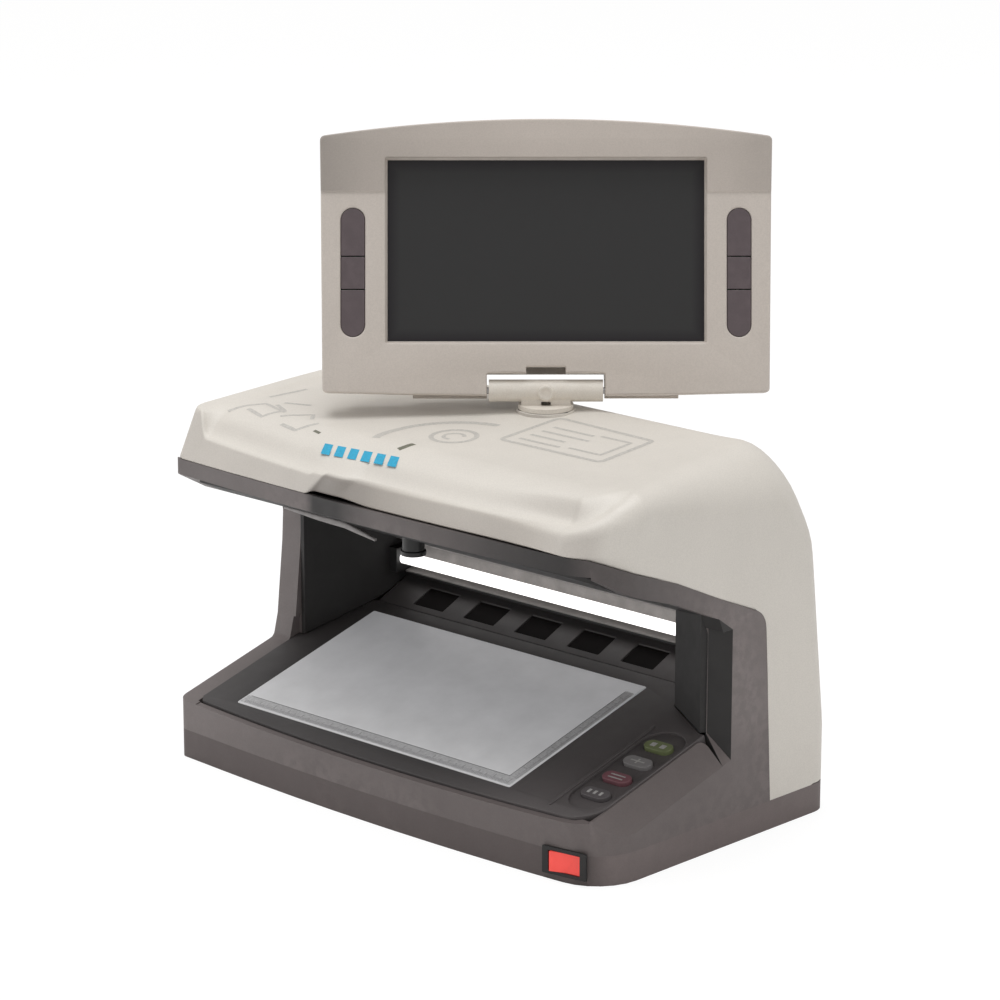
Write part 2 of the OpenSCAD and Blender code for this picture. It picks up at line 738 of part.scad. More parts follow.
module monitor_shell() color([0.68, 0.65, 0.61])
    at_tilt() difference() {
        union() {
            difference() {
                union() {
                    monitor_slab(0, split_y, 10);
                    monitor_slab(8, 10, back_y);
                    intersection() {
                        monitor_slab(-2.6, split_y + 4, bulge_y);
                        front_solid(rounded([[-65, -30, 0], [65, -30, 0], [65, 96, 10], [-65, 96, 10]]), 0, 40);
                        side_solid([[0, -3.6], [11, -3.6], [26, 10], [26, 120], [24, 120], [10, 100], [0, 100]]);
                    }
                }
                monitor_slab(2.4, split_y - 1, 10 - 2.4);
                monitor_slab(10.4, split_y - 1, back_y - 2.4);
                translate([-62, split_y - 1, 14]) cube([124, bulge_y - split_y - 1.4, 76]);
            }
            // ears that hold the pin
            intersection() {
                for (side = [-1, 1])
                    translate([side * (notch_w / 2 + 5.5), 0, 0]) {
                        translate([-5, 0, -4]) cube([10, split_y + 4, 10.6]);
                        translate([-5, 0, 0]) rotate([0, 90, 0]) cylinder(r = 4.2, h = 10);
                    }
                monitor_slab(0.1, -10, 20);
            }
            for (p = screw_posts)
                translate([p[0], split_y, p[1]]) rotate([-90, 0, 0]) cylinder(r = 3, h = 5);
        }
        hinge_notch(8.5);
        translate([-far, 0, 0]) rotate([0, 90, 0]) cylinder(r = pin_r, h = 2 * far);
        for (p = screw_posts)
            translate([p[0], 0, p[1]]) {
                rotate([-90, 0, 0]) cylinder(r = 1.4, h = 40);
                translate([0, split_y + 3.4, 0]) rotate([-90, 0, 0]) cylinder(r = 2.6, h = 40);
            }
        for (z = [100:4:112])
            translate([-40, back_y - 4, z]) cube([80, 20, 1.6]);
    }

module lcd_panel() color([0.12, 0.12, 0.13])
    at_tilt() translate([-screen_w / 2 - 4.5, face_y + 3.9, screen_z - 4.5])
        cube([screen_w + 9, 4.6, screen_h + 9]);

module monitor_board() color(board_green)
    at_tilt() {
        translate([-56, 11, 30]) cube([112, 1.6, 52]);
        translate([-16, 12.5, 46]) cube([24, 2, 24]);
        translate([26, 12.5, 40]) cube([14, 5, 8]);
        for (x = [-54, 50], z = [32, 76])
            translate([x, 12.5, z]) cube([4, bulge_y - 2.4 - 12.5, 4]);
    }

module monitor_screws() color([0.6, 0.6, 0.62])
    at_tilt()
        for (p = screw_posts)
            translate([p[0], 0, p[1]]) rotate([-90, 0, 0]) {
                translate([0, 0, split_y - 5]) cylinder(r = 1.2, h = 8.5);
                translate([0, 0, split_y + 3.4]) cylinder(r = 2.4, h = 1.4);
            }

module key_boards() color(board_green)
    at_tilt()
        for (side = [-1, 1]) {
            translate([side * key_x - 6, -0.1, key_z[0] - 4]) cube([12, 1.6, key_z[3] - key_z[0] + 7.9]);
            for (z = [37, 57, 77])
                translate([side * key_x, -0.1, z]) rotate([90, 0, 0]) cylinder(r = 1.6, h = 0.4);
            for (z = [key_z[0] - 4, key_z[3] + 1.1])
                translate([side * key_x - 2, -3, z]) cube([4, 4.5, 2.8]);
        }

// One key of a bank of three: i = 0 at the bottom, 2 at the top.
module monitor_key(side, i) color([0.36, 0.31, 0.32])
    at_tilt() intersection() {
        translate([side * key_x, face_y + 0.3, (key_z[0] + key_z[3]) / 2]) rotate([-90, 90, 0])
            union() {
                pill(key_z[3] - key_z[0], key_w, 3.6);
                translate([0, 0, 2.5]) pill(key_z[3] - key_z[0] + 1.6, key_w + 1.6, 1.1);
            }
        translate([side * key_x - 10, -20, key_z[i] + (i == 0 ? -5 : 0.25)])
            cube([20, 40, key_z[i + 1] - key_z[i] + (i == 1 ? -0.5 : 4.75)]);
    }

module monitor_key_l1() monitor_key(-1, 0);
module monitor_key_l2() monitor_key(-1, 1);
module monitor_key_l3() monitor_key(-1, 2);
module monitor_key_r1() monitor_key(1, 0);
module monitor_key_r2() monitor_key(1, 1);
module monitor_key_r3() monitor_key(1, 2);

base_tray();
rubber_feet();
case_screws();
mid_casing();
chamber_liner();
ceiling_panel();
top_cover();
bed_frame();
viewing_plate();
backlight_board();
window_panel();
sensor_windows();
sensor_board();
lamp_tube();
lamp_holders();
lamp_reflector();
camera_barrel();
camera_lens();
camera_board();
button_board();
mode_button_grey();
mode_button_red();
mode_button_white();
mode_button_green();
switch_bezel();
switch_rocker();
power_supply();
lamp_ballast();
main_board();
power_inlet();
signal_sockets();
hinge_plate();
hinge_screws();
hinge_knuckle();
swivel_nut();
hinge_pin();
monitor_bezel();
monitor_shell();
lcd_panel();
monitor_board();
monitor_screws();
key_boards();
monitor_key_l1();
monitor_key_l2();
monitor_key_l3();
monitor_key_r1();
monitor_key_r2();
monitor_key_r3();
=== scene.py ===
"""Looks of the counter-top banknote checker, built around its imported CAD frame.

The frame is in metres, +Z up, front towards -Y; shapes are written in mm and scaled by MM.
"""
import math

import bmesh
import bpy
from mathutils import Matrix, Vector


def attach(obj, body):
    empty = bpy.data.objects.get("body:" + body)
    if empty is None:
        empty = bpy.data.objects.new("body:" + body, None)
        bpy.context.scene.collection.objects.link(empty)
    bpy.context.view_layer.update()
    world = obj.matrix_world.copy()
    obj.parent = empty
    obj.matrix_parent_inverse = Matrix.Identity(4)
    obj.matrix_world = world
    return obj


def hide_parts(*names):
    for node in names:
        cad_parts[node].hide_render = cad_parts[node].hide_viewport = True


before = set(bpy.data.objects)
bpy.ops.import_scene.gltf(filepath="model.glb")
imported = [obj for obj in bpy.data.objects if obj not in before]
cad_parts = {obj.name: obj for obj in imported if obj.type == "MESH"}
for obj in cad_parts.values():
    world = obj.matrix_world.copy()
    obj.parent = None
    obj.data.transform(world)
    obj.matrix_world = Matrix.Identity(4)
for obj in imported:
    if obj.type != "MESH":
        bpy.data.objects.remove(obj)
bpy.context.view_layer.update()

MM = 0.001
HALF_W = 141.5
LEFT_X = -145.0
FRONT_Y = -77.5
REAR_Y = 87.5
BED_FRONT_Z = 31.1
BED_TILT = math.radians(15.4)
SWIVEL_TURN = math.radians(43.5)
SCREEN_LEAN = math.radians(15.0)
HUB = Vector((0.0, 36.3, 192.7))
SWIVEL = Matrix.Translation(HUB * MM) @ Matrix.Rotation(SWIVEL_TURN, 4, "Z")
MONITOR = SWIVEL @ Matrix.Rotation(-SCREEN_LEAN, 4, "X")
BED = Matrix.Translation(Vector((0, FRONT_Y, BED_FRONT_Z)) * MM) @ Matrix.Rotation(BED_TILT, 4, "X")


def smooth_step(a, b, v):
    """0 at a, 1 at b, smooth in between; a may be the larger."""
    t = max(0.0, min(1.0, (v - a) / (b - a)))
    return t * t * (3 - 2 * t)


def curve_at(points, x):
    """Linear interpolation through (x, value) points, held at both ends."""
    if x <= points[0][0]:
        return points[0][1]
    for (x0, v0), (x1, v1) in zip(points, points[1:]):
        if x <= x1:
            return v0 + (v1 - v0) * (x - x0) / (x1 - x0)
    return points[-1][1]


# ---- materials: positions inside them are in metres ----

MATERIALS = {}


class Nodes:
    """Short hand for the nodes of one new material, which goes into MATERIALS under its name."""

    def __init__(self, name):
        self.material = bpy.data.materials.new(name)
        self.material.use_nodes = True
        self.tree = self.material.node_tree
        self.coords = self.tree.nodes.new("ShaderNodeTexCoord").outputs
        MATERIALS[name] = self.material

    def put(self, socket, value):
        """Joins another node's output to an input, or sets the input to a number or a colour."""
        if isinstance(value, bpy.types.NodeSocket):
            self.tree.links.new(value, socket)
        elif socket.type == "RGBA":
            socket.default_value = (*value, 1)
        else:
            socket.default_value = value

    def fill(self, node, inputs):
        """Puts the named inputs of a node; an underscore in a name stands for a space."""
        for name, value in inputs.items():
            self.put(node.inputs[name.replace("_", " ")], value)
        return node

    def add(self, kind, **inputs):
        return self.fill(self.tree.nodes.new("ShaderNode" + kind), inputs)

    def surface(self, **inputs):
        """Fills the material's main shader."""
        self.fill(self.tree.nodes["Principled BSDF"], inputs)

    def along(self, axis):
        """The object's own X, Y or Z."""
        return self.add("SeparateXYZ", Vector=self.coords["Object"]).outputs[axis]

    def facing(self, axis):
        """How far the surface's own normal points along X, Y or Z."""
        return self.add("SeparateXYZ", Vector=self.coords["Normal"]).outputs[axis]

    def noise(self, scale, detail=3.0, rough=0.55):
        where = self.coords["Object"]
        node = self.add("TexNoise", Vector=where, Scale=scale, Detail=detail, Roughness=rough)
        return node.outputs["Fac"]

    def ramp(self, source, *stops):
        """Colours along source; a stop is (position, colour), or (position, grey) for a neutral tone."""
        node = self.add("ValToRGB", Fac=source)
        elements = node.color_ramp.elements
        while len(elements) < len(stops):
            elements.new(0.5)
        for element, (position, color) in zip(elements, stops):
            element.position = position
            element.color = (*color, 1) if isinstance(color, tuple) else (color, color, color, 1)
        return node.outputs["Color"]

    def mix(self, share, a, b, mode="MIX"):
        node = self.tree.nodes.new("ShaderNodeMix")
        node.data_type = "RGBA"
        node.blend_type = mode
        for index, value in ((0, share), (6, a), (7, b)):
            self.put(node.inputs[index], value)
        return node.outputs[2]

    def paint_light_shade(self, base, share, color):
        """Paints light and shade into base: base multiplied by color, fully where share is 1 and not at all
        where it is 0.
        """
        return self.mix(share, base, self.mix(1.0, base, color, "MULTIPLY"))

    def math(self, operation, a, b=0.0):
        node = self.tree.nodes.new("ShaderNodeMath")
        node.operation = operation
        self.put(node.inputs[0], a)
        self.put(node.inputs[1], b)
        return node.outputs[0]

    def line(self, value, slope, start):
        """value times slope, plus start."""
        return self.math("ADD", self.math("MULTIPLY", value, slope), start)

    def rise(self, value, low, high):
        """0 at low, 1 at high, smooth in between; low may be the larger."""
        node = self.add("MapRange", Value=value, From_Min=low, From_Max=high)
        node.interpolation_type = "SMOOTHSTEP"
        return node.outputs["Result"]

    def bump(self, height, strength, distance, **below):
        """Relief on the surface, or on top of another relief given as Normal."""
        node = self.add("Bump", Height=height, Strength=strength, Distance=distance, **below)
        return node.outputs["Normal"]


def shade(color, k):
    return tuple(min(1.0, c * k) for c in color)


def mottled(m, color, source, spread):
    """color, varied by the share spread up and down along source."""
    return m.ramp(source, (0.3, shade(color, 1 - spread)), (0.7, shade(color, 1 + spread)))


def plastic(name, color, rough, grain, depth, wear, spread=0.05, spec=0.5, painted_light=None):
    """Moulded plastic: mottled colour, fine spark-eroded grain, uneven gloss, and edges rubbed lighter;
    some also get light and shade painted into their colour.
    """
    m = Nodes(name)
    base = mottled(m, color, m.noise(38.0, 4.0), spread)
    specks = m.ramp(m.noise(grain * 0.7, 1.0), (0.35, shade(color, 0.8)), (0.65, shade(color, 1.18)))
    base = m.mix(0.18, base, specks)
    edge = m.ramp(m.add("NewGeometry").outputs["Pointiness"], (0.51, 0), (0.60, 1))
    scuff = m.ramp(m.noise(210.0, 5.0), (0.42, 0), (0.6, 1))
    worn = m.math("MULTIPLY", edge, scuff)
    base = m.mix(m.math("MULTIPLY", worn, wear * 2.5), base, shade(color, 1.5))
    # light and shade painted into the colour, where the plastic is given them
    if painted_light:
        base = painted_light(m, base)
    gloss = m.ramp(m.noise(95.0, 3.0), (0.2, rough - 0.06), (0.8, rough + 0.07))
    ripple = m.bump(m.noise(14.0, 2.0), 0.04, 0.002)
    relief = m.bump(m.noise(grain, 2.0), depth, 0.0001, Normal=ripple)
    m.surface(Base_Color=base, Roughness=gloss, Normal=relief, Specular_IOR_Level=spec)


def recess_painted_shade(m, base):
    """Painted shade inside the shallow recess of the hood's front, fading towards its right end; faces
    turned to the front are painted a little darker too.
    """
    x, y, z = [m.along(axis) for axis in "XYZ"]
    slanted = m.math("ADD", m.line(z, -0.85, 0.1326), x)
    inside = m.math("MULTIPLY", m.rise(slanted, -0.0455, -0.0432), m.rise(x, 0.116, 0.088))
    inside = m.math("MULTIPLY", inside, m.rise(z, 0.1668, 0.1655))
    inside = m.math("MULTIPLY", inside, m.rise(y, -0.060, -0.066))
    # how dark the painted shade is along the recess, darkest at its left end
    depth = m.ramp(m.line(x, 5.0, 0.22), (0.0, (0.46, 0.445, 0.44)), (0.10, (0.54, 0.525, 0.52)),
                   (0.17, (0.61, 0.595, 0.59)), (0.23, (0.73, 0.715, 0.705)), (0.36, (0.86, 0.85, 0.84)),
                   (0.5, (0.94, 0.93, 0.925)), (0.7, (0.89, 0.88, 0.87)))
    # painted shade on the faces turned to the front
    base = m.paint_light_shade(base, m.rise(m.facing("Y"), -0.60, -0.84), (0.84, 0.83, 0.83))
    return m.paint_light_shade(base, inside, depth)


def rim_painted_shade(m, base):
    """Painted shade along the hood's rim, deepest under the recess and near the right corner; the casing's
    lower front, right of its left end, is painted a little darker too.
    """
    x, y, z = [m.along(axis) for axis in "XYZ"]
    run = m.math("ADD", x, m.math("MAXIMUM", m.math("ADD", y, 0.080), 0.0))
    shade_levels = m.ramp(m.line(run, 2.5, 0.3625), (0.0, 0.74), (0.22, 0.86), (0.248, 0.84), (0.262, 0.08),
                   (0.302, 0.11), (0.337, 0.52), (0.37, 0.75), (0.485, 0.54), (0.55, 0.28), (0.62, 0.15),
                   (0.66, 0.13), (0.70, 0.48), (0.79, 0.53), (0.885, 0.75), (0.96, 1.0))
    base = m.paint_light_shade(base, m.rise(z, 0.110, 0.119), shade_levels)
    # painted shade on the casing's lower front, standing in for light from the left
    front = m.math("MULTIPLY", m.rise(z, 0.060, 0.045), m.rise(x, -0.120, -0.050))
    return m.paint_light_shade(base, front, (0.82, 0.81, 0.81))


def bezel_painted_shade(m, base):
    """Painted shade: the bezel's upper panel reads darker, most of all towards its ends."""
    shade_levels = [(0.07, 0.60), (0.105, 0.67), (0.15, 0.76), (0.30, 0.85), (0.48, 0.93), (0.70, 0.93),
             (0.85, 0.87), (0.91, 0.77)]
    along = m.ramp(m.line(m.along("X"), 4.0, 0.5), *[(t, (k, k * 0.99, k * 0.985)) for t, k in shade_levels])
    return m.paint_light_shade(base, m.rise(m.along("Z"), 0.0945, 0.0975), along)


def side_painted_light(m, base):
    """Painted light and shade: faces turned to the right a little lighter, faces turned to the front a
    little darker.
    """
    base = m.paint_light_shade(base, m.rise(m.facing("X"), 0.6, 0.9), (1.40, 1.40, 1.40))
    return m.paint_light_shade(base, m.rise(m.facing("Y"), -0.7, -0.9), (0.88, 0.87, 0.87))


def bed_painted_light(m, base):
    """Painted light: the bed's right part, nearer the lamp's open end, reads lighter."""
    return m.paint_light_shade(base, m.rise(m.along("X"), 0.02, 0.10), (1.75, 1.72, 1.72))


def metal(name, color, rough, stretch=(1, 1, 30)):
    """Drawn or plated metal with fine directional scratches."""
    m = Nodes(name)
    mapping = m.add("Mapping", Vector=m.coords["Object"], Scale=stretch)
    lines = m.add("TexNoise", Vector=mapping.outputs["Vector"], Scale=900.0).outputs["Fac"]
    m.surface(
        Base_Color=m.ramp(m.noise(120.0), (0.3, shade(color, 0.86)), (0.7, shade(color, 1.1))),
        Metallic=1.0,
        Roughness=m.ramp(lines, (0.3, rough - 0.08), (0.7, rough + 0.1)),
        Normal=m.bump(lines, 0.15, 0.0001),
    )


def board(name):
    """Lacquered circuit board: green mask, copper tracks as fine cells, tin pads."""
    m = Nodes(name)
    cells = m.add("TexVoronoi", Vector=m.coords["Object"], Scale=260.0)
    cells.feature = "DISTANCE_TO_EDGE"
    gaps = cells.outputs["Distance"]
    tracks = m.ramp(gaps, (0.03, (0.05, 0.28, 0.10)), (0.07, (0.015, 0.13, 0.05)))
    pads = m.ramp(m.noise(700.0, 1.0), (0.66, 0), (0.69, 1))
    m.surface(
        Base_Color=m.mix(pads, tracks, (0.62, 0.6, 0.52)),
        Roughness=0.35,
        Coat_Weight=0.4,
        Normal=m.bump(gaps, 0.3, 0.0002),
    )


def lit(name, color, glow, strength, rough=0.2):
    """Translucent part lit from inside, slightly cloudy."""
    m = Nodes(name)
    soft = m.noise(160.0, 2.0)
    m.surface(
        Base_Color=m.ramp(soft, (0.25, shade(color, 0.9)), (0.75, shade(color, 1.08))),
        Emission_Color=m.ramp(soft, (0.25, shade(glow, 0.82)), (0.75, glow)),
        Emission_Strength=strength,
        Roughness=rough,
        Normal=m.bump(soft, 0.06, 0.0003),
    )


def glassy(name, color, rough):
    """Coated lens glass with a faint haze."""
    m = Nodes(name)
    haze = m.noise(45.0, 4.0)
    m.surface(
        Base_Color=mottled(m, color, haze, 0.15),
        Roughness=m.ramp(m.noise(320.0, 5.0), (0.4, rough), (0.75, rough + 0.1)),
        Coat_Weight=1.0,
        Coat_Roughness=0.04,
        Normal=m.bump(haze, 0.03, 0.0003),
    )


def plate_material(name):
    """Satin acrylic over the bed's lamp: a little lighter towards the front, dusty, finely scratched."""
    m = Nodes(name)
    fade = m.ramp(m.math("MULTIPLY", m.along("Y"), 10.0), (0.05, (0.46, 0.46, 0.465)),
                  (0.5, (0.43, 0.43, 0.44)), (1.0, (0.33, 0.33, 0.34)))
    dust = m.ramp(m.noise(60.0, 5.0), (0.3, 0.93), (0.7, 1.04))
    tone = m.mix(1.0, fade, dust, "MULTIPLY")
    mapping = m.add("Mapping", Vector=m.coords["Object"], Scale=(6, 90, 1), Rotation=(0, 0, 0.3))
    hair = m.add("TexNoise", Vector=mapping.outputs["Vector"], Scale=30.0, Detail=6.0).outputs["Fac"]
    m.surface(
        Base_Color=tone,
        Emission_Color=tone,
        Emission_Strength=0.52,
        Roughness=m.ramp(hair, (0.35, 0.30), (0.7, 0.44)),
        Normal=m.bump(hair, 0.05, 0.0001),
    )


def screen_material(name):
    """Switched-off display behind an anti-glare film, darker along its rim."""
    m = Nodes(name)
    mid_z = 0.068
    from_mid = m.math("ABSOLUTE", m.math("SUBTRACT", m.along("Z"), mid_z))
    edge = m.math("MAXIMUM", m.math("ABSOLUTE", m.along("X")), m.math("ADD", from_mid, 0.033))
    edge = m.math("MULTIPLY", edge, 12.0)
    dark = m.ramp(edge, (0.85, (0.036, 0.036, 0.0365)), (0.915, (0.022, 0.020, 0.023)))
    film = m.noise(5200.0, 1.0)
    m.surface(
        Base_Color=m.mix(0.08, dark, m.ramp(film, (0.3, 0.02), (0.7, 0.09))),
        Roughness=m.ramp(m.noise(30.0, 4.0), (0.3, 0.34), (0.7, 0.42)),
        Specular_IOR_Level=0.25,
        Normal=m.bump(film, 0.05, 0.00005),
    )


def rubber(name):
    m = Nodes(name)
    m.surface(
        Base_Color=m.ramp(m.noise(300.0, 4.0), (0.3, 0.02), (0.7, 0.045)),
        Roughness=0.85,
        Normal=m.bump(m.noise(1800.0), 0.3, 0.0002),
    )


def ink(name, color, rough=0.45):
    """Screen-printed ink, slightly broken up."""
    m = Nodes(name)
    m.surface(
        Base_Color=mottled(m, color, m.noise(900.0, 3.0), 0.15),
        Roughness=m.ramp(m.noise(400.0), (0.3, rough - 0.05), (0.7, rough + 0.1)),
        Normal=m.bump(m.noise(2000.0), 0.1, 0.00005),
    )


MONITOR_COLOR = (0.60, 0.545, 0.495)

# a plastic's numbers: roughness, fineness and depth of its grain, wear of its edges, spread of its mottling
plastic("tray_plastic", (0.118, 0.097, 0.094), 0.55, 1900, 0.28, 0.12, painted_light=side_painted_light)
rubber("foot_rubber")
metal("screw_steel", (0.6, 0.6, 0.62), 0.32)
plastic("casing_plastic", (0.170, 0.146, 0.142), 0.5, 1900, 0.28, 0.16, painted_light=rim_painted_shade)
plastic("chamber_plastic", (0.024, 0.0225, 0.022), 0.6, 2200, 0.2, 0.1)
plastic("cover_plastic", (0.69, 0.655, 0.60), 0.46, 2400, 0.14, 0.03, 0.02, painted_light=recess_painted_shade)
plastic("bed_plastic", (0.058, 0.053, 0.053), 0.5, 2200, 0.2, 0.12, painted_light=bed_painted_light)
plate_material("plate_acrylic")
board("circuit_board")
plastic("window_filter", (0.009, 0.0075, 0.0075), 0.7, 2600, 0.1, 0.05, spec=0.08)
lit("lamp_glass", (0.95, 0.95, 0.95), (1.0, 0.98, 0.97), 1.6)
plastic("black_plastic", (0.012, 0.012, 0.012), 0.4, 2400, 0.15, 0.2)
metal("reflector_steel", (0.26, 0.248, 0.24), 0.6, (30, 1, 1))
glassy("lens_glass", (0.02, 0.025, 0.07), 0.03)
plastic("button_grey", (0.115, 0.105, 0.108), 0.42, 2000, 0.15, 0.3)
plastic("button_red", (0.20, 0.085, 0.10), 0.42, 2000, 0.15, 0.3)
plastic("button_white", (0.24, 0.23, 0.23), 0.42, 2000, 0.15, 0.3)
plastic("button_green", (0.17, 0.20, 0.09), 0.42, 2000, 0.15, 0.3)
lit("rocker_red", (0.72, 0.07, 0.055), (1.0, 0.09, 0.075), 0.36, 0.25)
metal("socket_metal", (0.75, 0.58, 0.27), 0.28)
plastic("hinge_plastic", (0.74, 0.69, 0.62), 0.42, 2400, 0.1, 0.15)
plastic("monitor_plastic", MONITOR_COLOR, 0.5, 2400, 0.14, 0.05, 0.02)
plastic("guard_plastic", (0.26, 0.245, 0.24), 0.45, 2200, 0.15, 0.2)
plastic("bezel_plastic", MONITOR_COLOR, 0.5, 2400, 0.14, 0.05, 0.02, painted_light=bezel_painted_shade)
screen_material("screen_dark")
plastic("key_plastic", (0.105, 0.082, 0.088), 0.45, 2200, 0.15, 0.25)
ink("graphic_grey", (0.53, 0.51, 0.475))
ink("graphic_dark", (0.16, 0.16, 0.12))
ink("graphic_blue", (0.01, 0.36, 0.58))
ink("ruler_ink", (0.20, 0.20, 0.215))
ink("ruler_band", (0.60, 0.60, 0.61), 0.4)
ink("icon_ink", (0.46, 0.45, 0.44))

# ---- mesh helpers ----


def finish_mesh(name, bm, material, sharp, matrix=None):
    """Turns bm into an object with smooth faces and edges kept sharp above an angle."""
    bmesh.ops.remove_doubles(bm, verts=bm.verts, dist=1e-7)
    bmesh.ops.recalc_face_normals(bm, faces=bm.faces)
    limit = math.radians(sharp)
    for f in bm.faces:
        f.smooth = True
    for e in bm.edges:
        e.smooth = len(e.link_faces) != 2 or e.calc_face_angle(0.0) < limit
    mesh = bpy.data.meshes.new(name)
    bm.to_mesh(mesh)
    bm.free()
    mesh.materials.append(MATERIALS[material])
    obj = bpy.data.objects.new(name, mesh)
    bpy.context.scene.collection.objects.link(obj)
    if matrix is not None:
        obj.matrix_world = matrix
    return obj


def dress(node, slot, width, segments):
    """Gives a CAD node edges rounded by width in mm, and its material; its own mesh stays as it is."""
    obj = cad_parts[node]
    obj.data.materials.clear()
    obj.data.materials.append(MATERIALS[slot])
    for p in obj.data.polygons:
        p.use_smooth = True
    weld = obj.modifiers.new("weld", "WELD")
    weld.merge_threshold = 2e-6
    flat = obj.modifiers.new("flat", "DECIMATE")
    flat.decimate_type = "DISSOLVE"
    flat.angle_limit = math.radians(0.6)
    bevel = obj.modifiers.new("edges", "BEVEL")
    bevel.width = width * MM
    bevel.segments = segments
    bevel.limit_method = "ANGLE"
    bevel.angle_limit = math.radians(32.0)
    bevel.use_clamp_overlap = True
    bevel.miter_outer = "MITER_ARC"
    shading = obj.modifiers.new("shading", "WEIGHTED_NORMAL")
    shading.keep_sharp = True


def place(obj, body, slot, *nodes):
    """Puts obj on a body in place of the named CAD nodes; slot is not used."""
    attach(obj, body)
    if nodes:
        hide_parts(*nodes)


def ring(bm, points):
    """New vertices at points in mm."""
    return [bm.verts.new(Vector(p) * MM) for p in points]


def bridge(bm, rings, closed=True):
    """Quads between successive rings of vertices."""
    n = len(rings[0])
    last = n if closed else n - 1
    for a, b in zip(rings, rings[1:]):
        for i in range(last):
            j = (i + 1) % n
            bm.faces.new((a[i], a[j], b[j], b[i]))


def loft(name, loops, ends, material, sharp, matrix=None):
    """Skin over successive loops of points in mm; ends is 0 for open, 1 to close the last, 2 for both."""
    bm = bmesh.new()
    rings = [ring(bm, loop) for loop in loops]
    bridge(bm, rings)
    if ends > 0:
        bm.faces.new(rings[-1])
    if ends > 1:
        bm.faces.new(list(reversed(rings[0])))
    return finish_mesh(name, bm, material, sharp, matrix)


def slab(name, loops, depth, bevel, steps):
    """Flat plate from closed outlines (x, z) in mm; the first is the outer edge, the rest are holes.
    depth is (front y, back y); all rims are rounded by bevel."""
    curve = bpy.data.curves.new(name, "CURVE")
    curve.dimensions = "2D"
    curve.fill_mode = "BOTH"
    curve.extrude = ((depth[1] - depth[0]) / 2 - bevel) * MM
    curve.bevel_depth = bevel * MM
    curve.bevel_resolution = steps
    curve.offset = -bevel * MM
    for loop in loops:
        spline = curve.splines.new("POLY")
        spline.points.add(len(loop) - 1)
        for p, (x, z) in zip(spline.points, loop):
            p.co = (x * MM, z * MM, 0, 1)
        spline.use_cyclic_u = True
    temp = bpy.data.objects.new(name + "_curve", curve)
    bpy.context.scene.collection.objects.link(temp)
    graph = bpy.context.evaluated_depsgraph_get()
    mesh = bpy.data.meshes.new_from_object(temp.evaluated_get(graph))
    bm = bmesh.new()
    bm.from_mesh(mesh)
    bpy.data.objects.remove(temp)
    mid = (depth[0] + depth[1]) / 2 * MM
    for v in bm.verts:
        v.co = Vector((v.co.x, mid - v.co.z, v.co.y))
    return bm


def arc(cx, cz, r, start, sweep, steps):
    """Points along an arc, angles in radians, both ends included."""
    angles = [start + sweep * i / steps for i in range(steps + 1)]
    return [(cx + r * math.cos(a), cz + r * math.sin(a)) for a in angles]


def pill_loop(cx, cz, length, width):
    """Closed outline of an upright pill centred at cx, cz."""
    r = width / 2
    h = length / 2 - r
    return arc(cx, cz + h, r, 0, math.pi, 14) + arc(cx, cz - h, r, math.pi, math.pi, 14)


def round_loop(corners, steps=5):
    """Closed outline from (x, z, radius) corners."""
    points = []
    n = len(corners)
    for i in range(n):
        p = Vector(corners[i][:2])
        a = (Vector(corners[i - 1][:2]) - p).normalized()
        b = (Vector(corners[(i + 1) % n][:2]) - p).normalized()
        r = corners[i][2]
        if r == 0:
            points.append(tuple(p))
            continue
        half = a.angle(b) / 2
        start = p + a * (r / math.tan(half))
        end = p + b * (r / math.tan(half))
        centre = p + (a + b).normalized() * (r / math.sin(half))
        first = math.atan2(*(start - centre).yx)
        sweep = math.atan2(*(end - centre).yx) - first
        sweep = (sweep + math.pi) % (2 * math.pi) - math.pi
        points += arc(centre.x, centre.y, r, first, sweep, steps)
    return points


def box_loop(x0, z0, x1, z1, r):
    """Closed outline of a box with corners rounded by r."""
    return round_loop([(x0, z0, r), (x1, z0, r), (x1, z1, r), (x0, z1, r)], 3)


# ---- the light cover ----

# its lower edge, (y, z): down the side of the casing and along the foot of the rear wall
FOOT_Z = 14.5
EDGE = [(-90, 155.8), (-75, 154.6), (-57, 147), (-42, 142.0), (-27.5, 136.4), (-12.7, 130.0), (2, 123.1),
        (17, 116.7), (24.5, 113.5), (29.6, 111.3), (31.6, 110.2), (33.4, 108.7), (34.8, 106.8),
        (35.8, 104.7), (36.4, 101.7), (36.8, 95), (37.4, 86), (41.4, FOOT_Z)]
STEEP_Z = 111.8
EDGE_COLUMNS = 96
FOOT_COLUMNS = 10

# plan radii of its corners: front right, front left, both rear ones at their foot, and each at its top
FR, FL, RR = 25.0, 7.0, 12.0
RR_TOP, RL_TOP = 35.0, 20.0

# the edge between its front and its top, (x, y)
CREASE_Y = [(-141, -66.5), (-136, -67.5), (-131, -70), (-125, -71.8), (-113, -72.6), (-101, -73.8),
            (-77, -76.2), (-53, -79.2), (-36, -80.4), (-31, -79.6), (-25, -76.6), (38, -76.6), (75, -75.8),
            (90, -74.0), (105, -73.0), (141, -72.4)]
BROW_Z = 155.8
FRONT_BOW = 6.0
RECESS_SLANT, RECESS_DEPTH = 0.85, 2.0
TOP_Y, TOP_Z, TOP_SLOPE, TOP_DISH = -53, 180.3, 0.0411, 1.1
NOSE_Y, NOSE_LENGTH, NOSE_DROP = -47, 14.0, 7.8
SIDE_DRAFT = 1.4
REAR_LEAN, REAR_LEAN_Z = 0.115, 44
LIP_HEIGHT, LIP_TUCK = 0.8, 0.3
ROOF_Z = 178


def bow(x):
    """How far the front bulges at x."""
    return FRONT_BOW * (1 - (x / HALF_W) ** 2)


def slanted(x, z):
    """x counted from the slanted left end of the front's recess."""
    return x - (z - 156) * RECESS_SLANT


def fascia_recess(x, z):
    """How much of the shallow recess along the front is present at x, z."""
    return min(smooth_step(-46, -42, slanted(x, z)), smooth_step(118, 70, x))


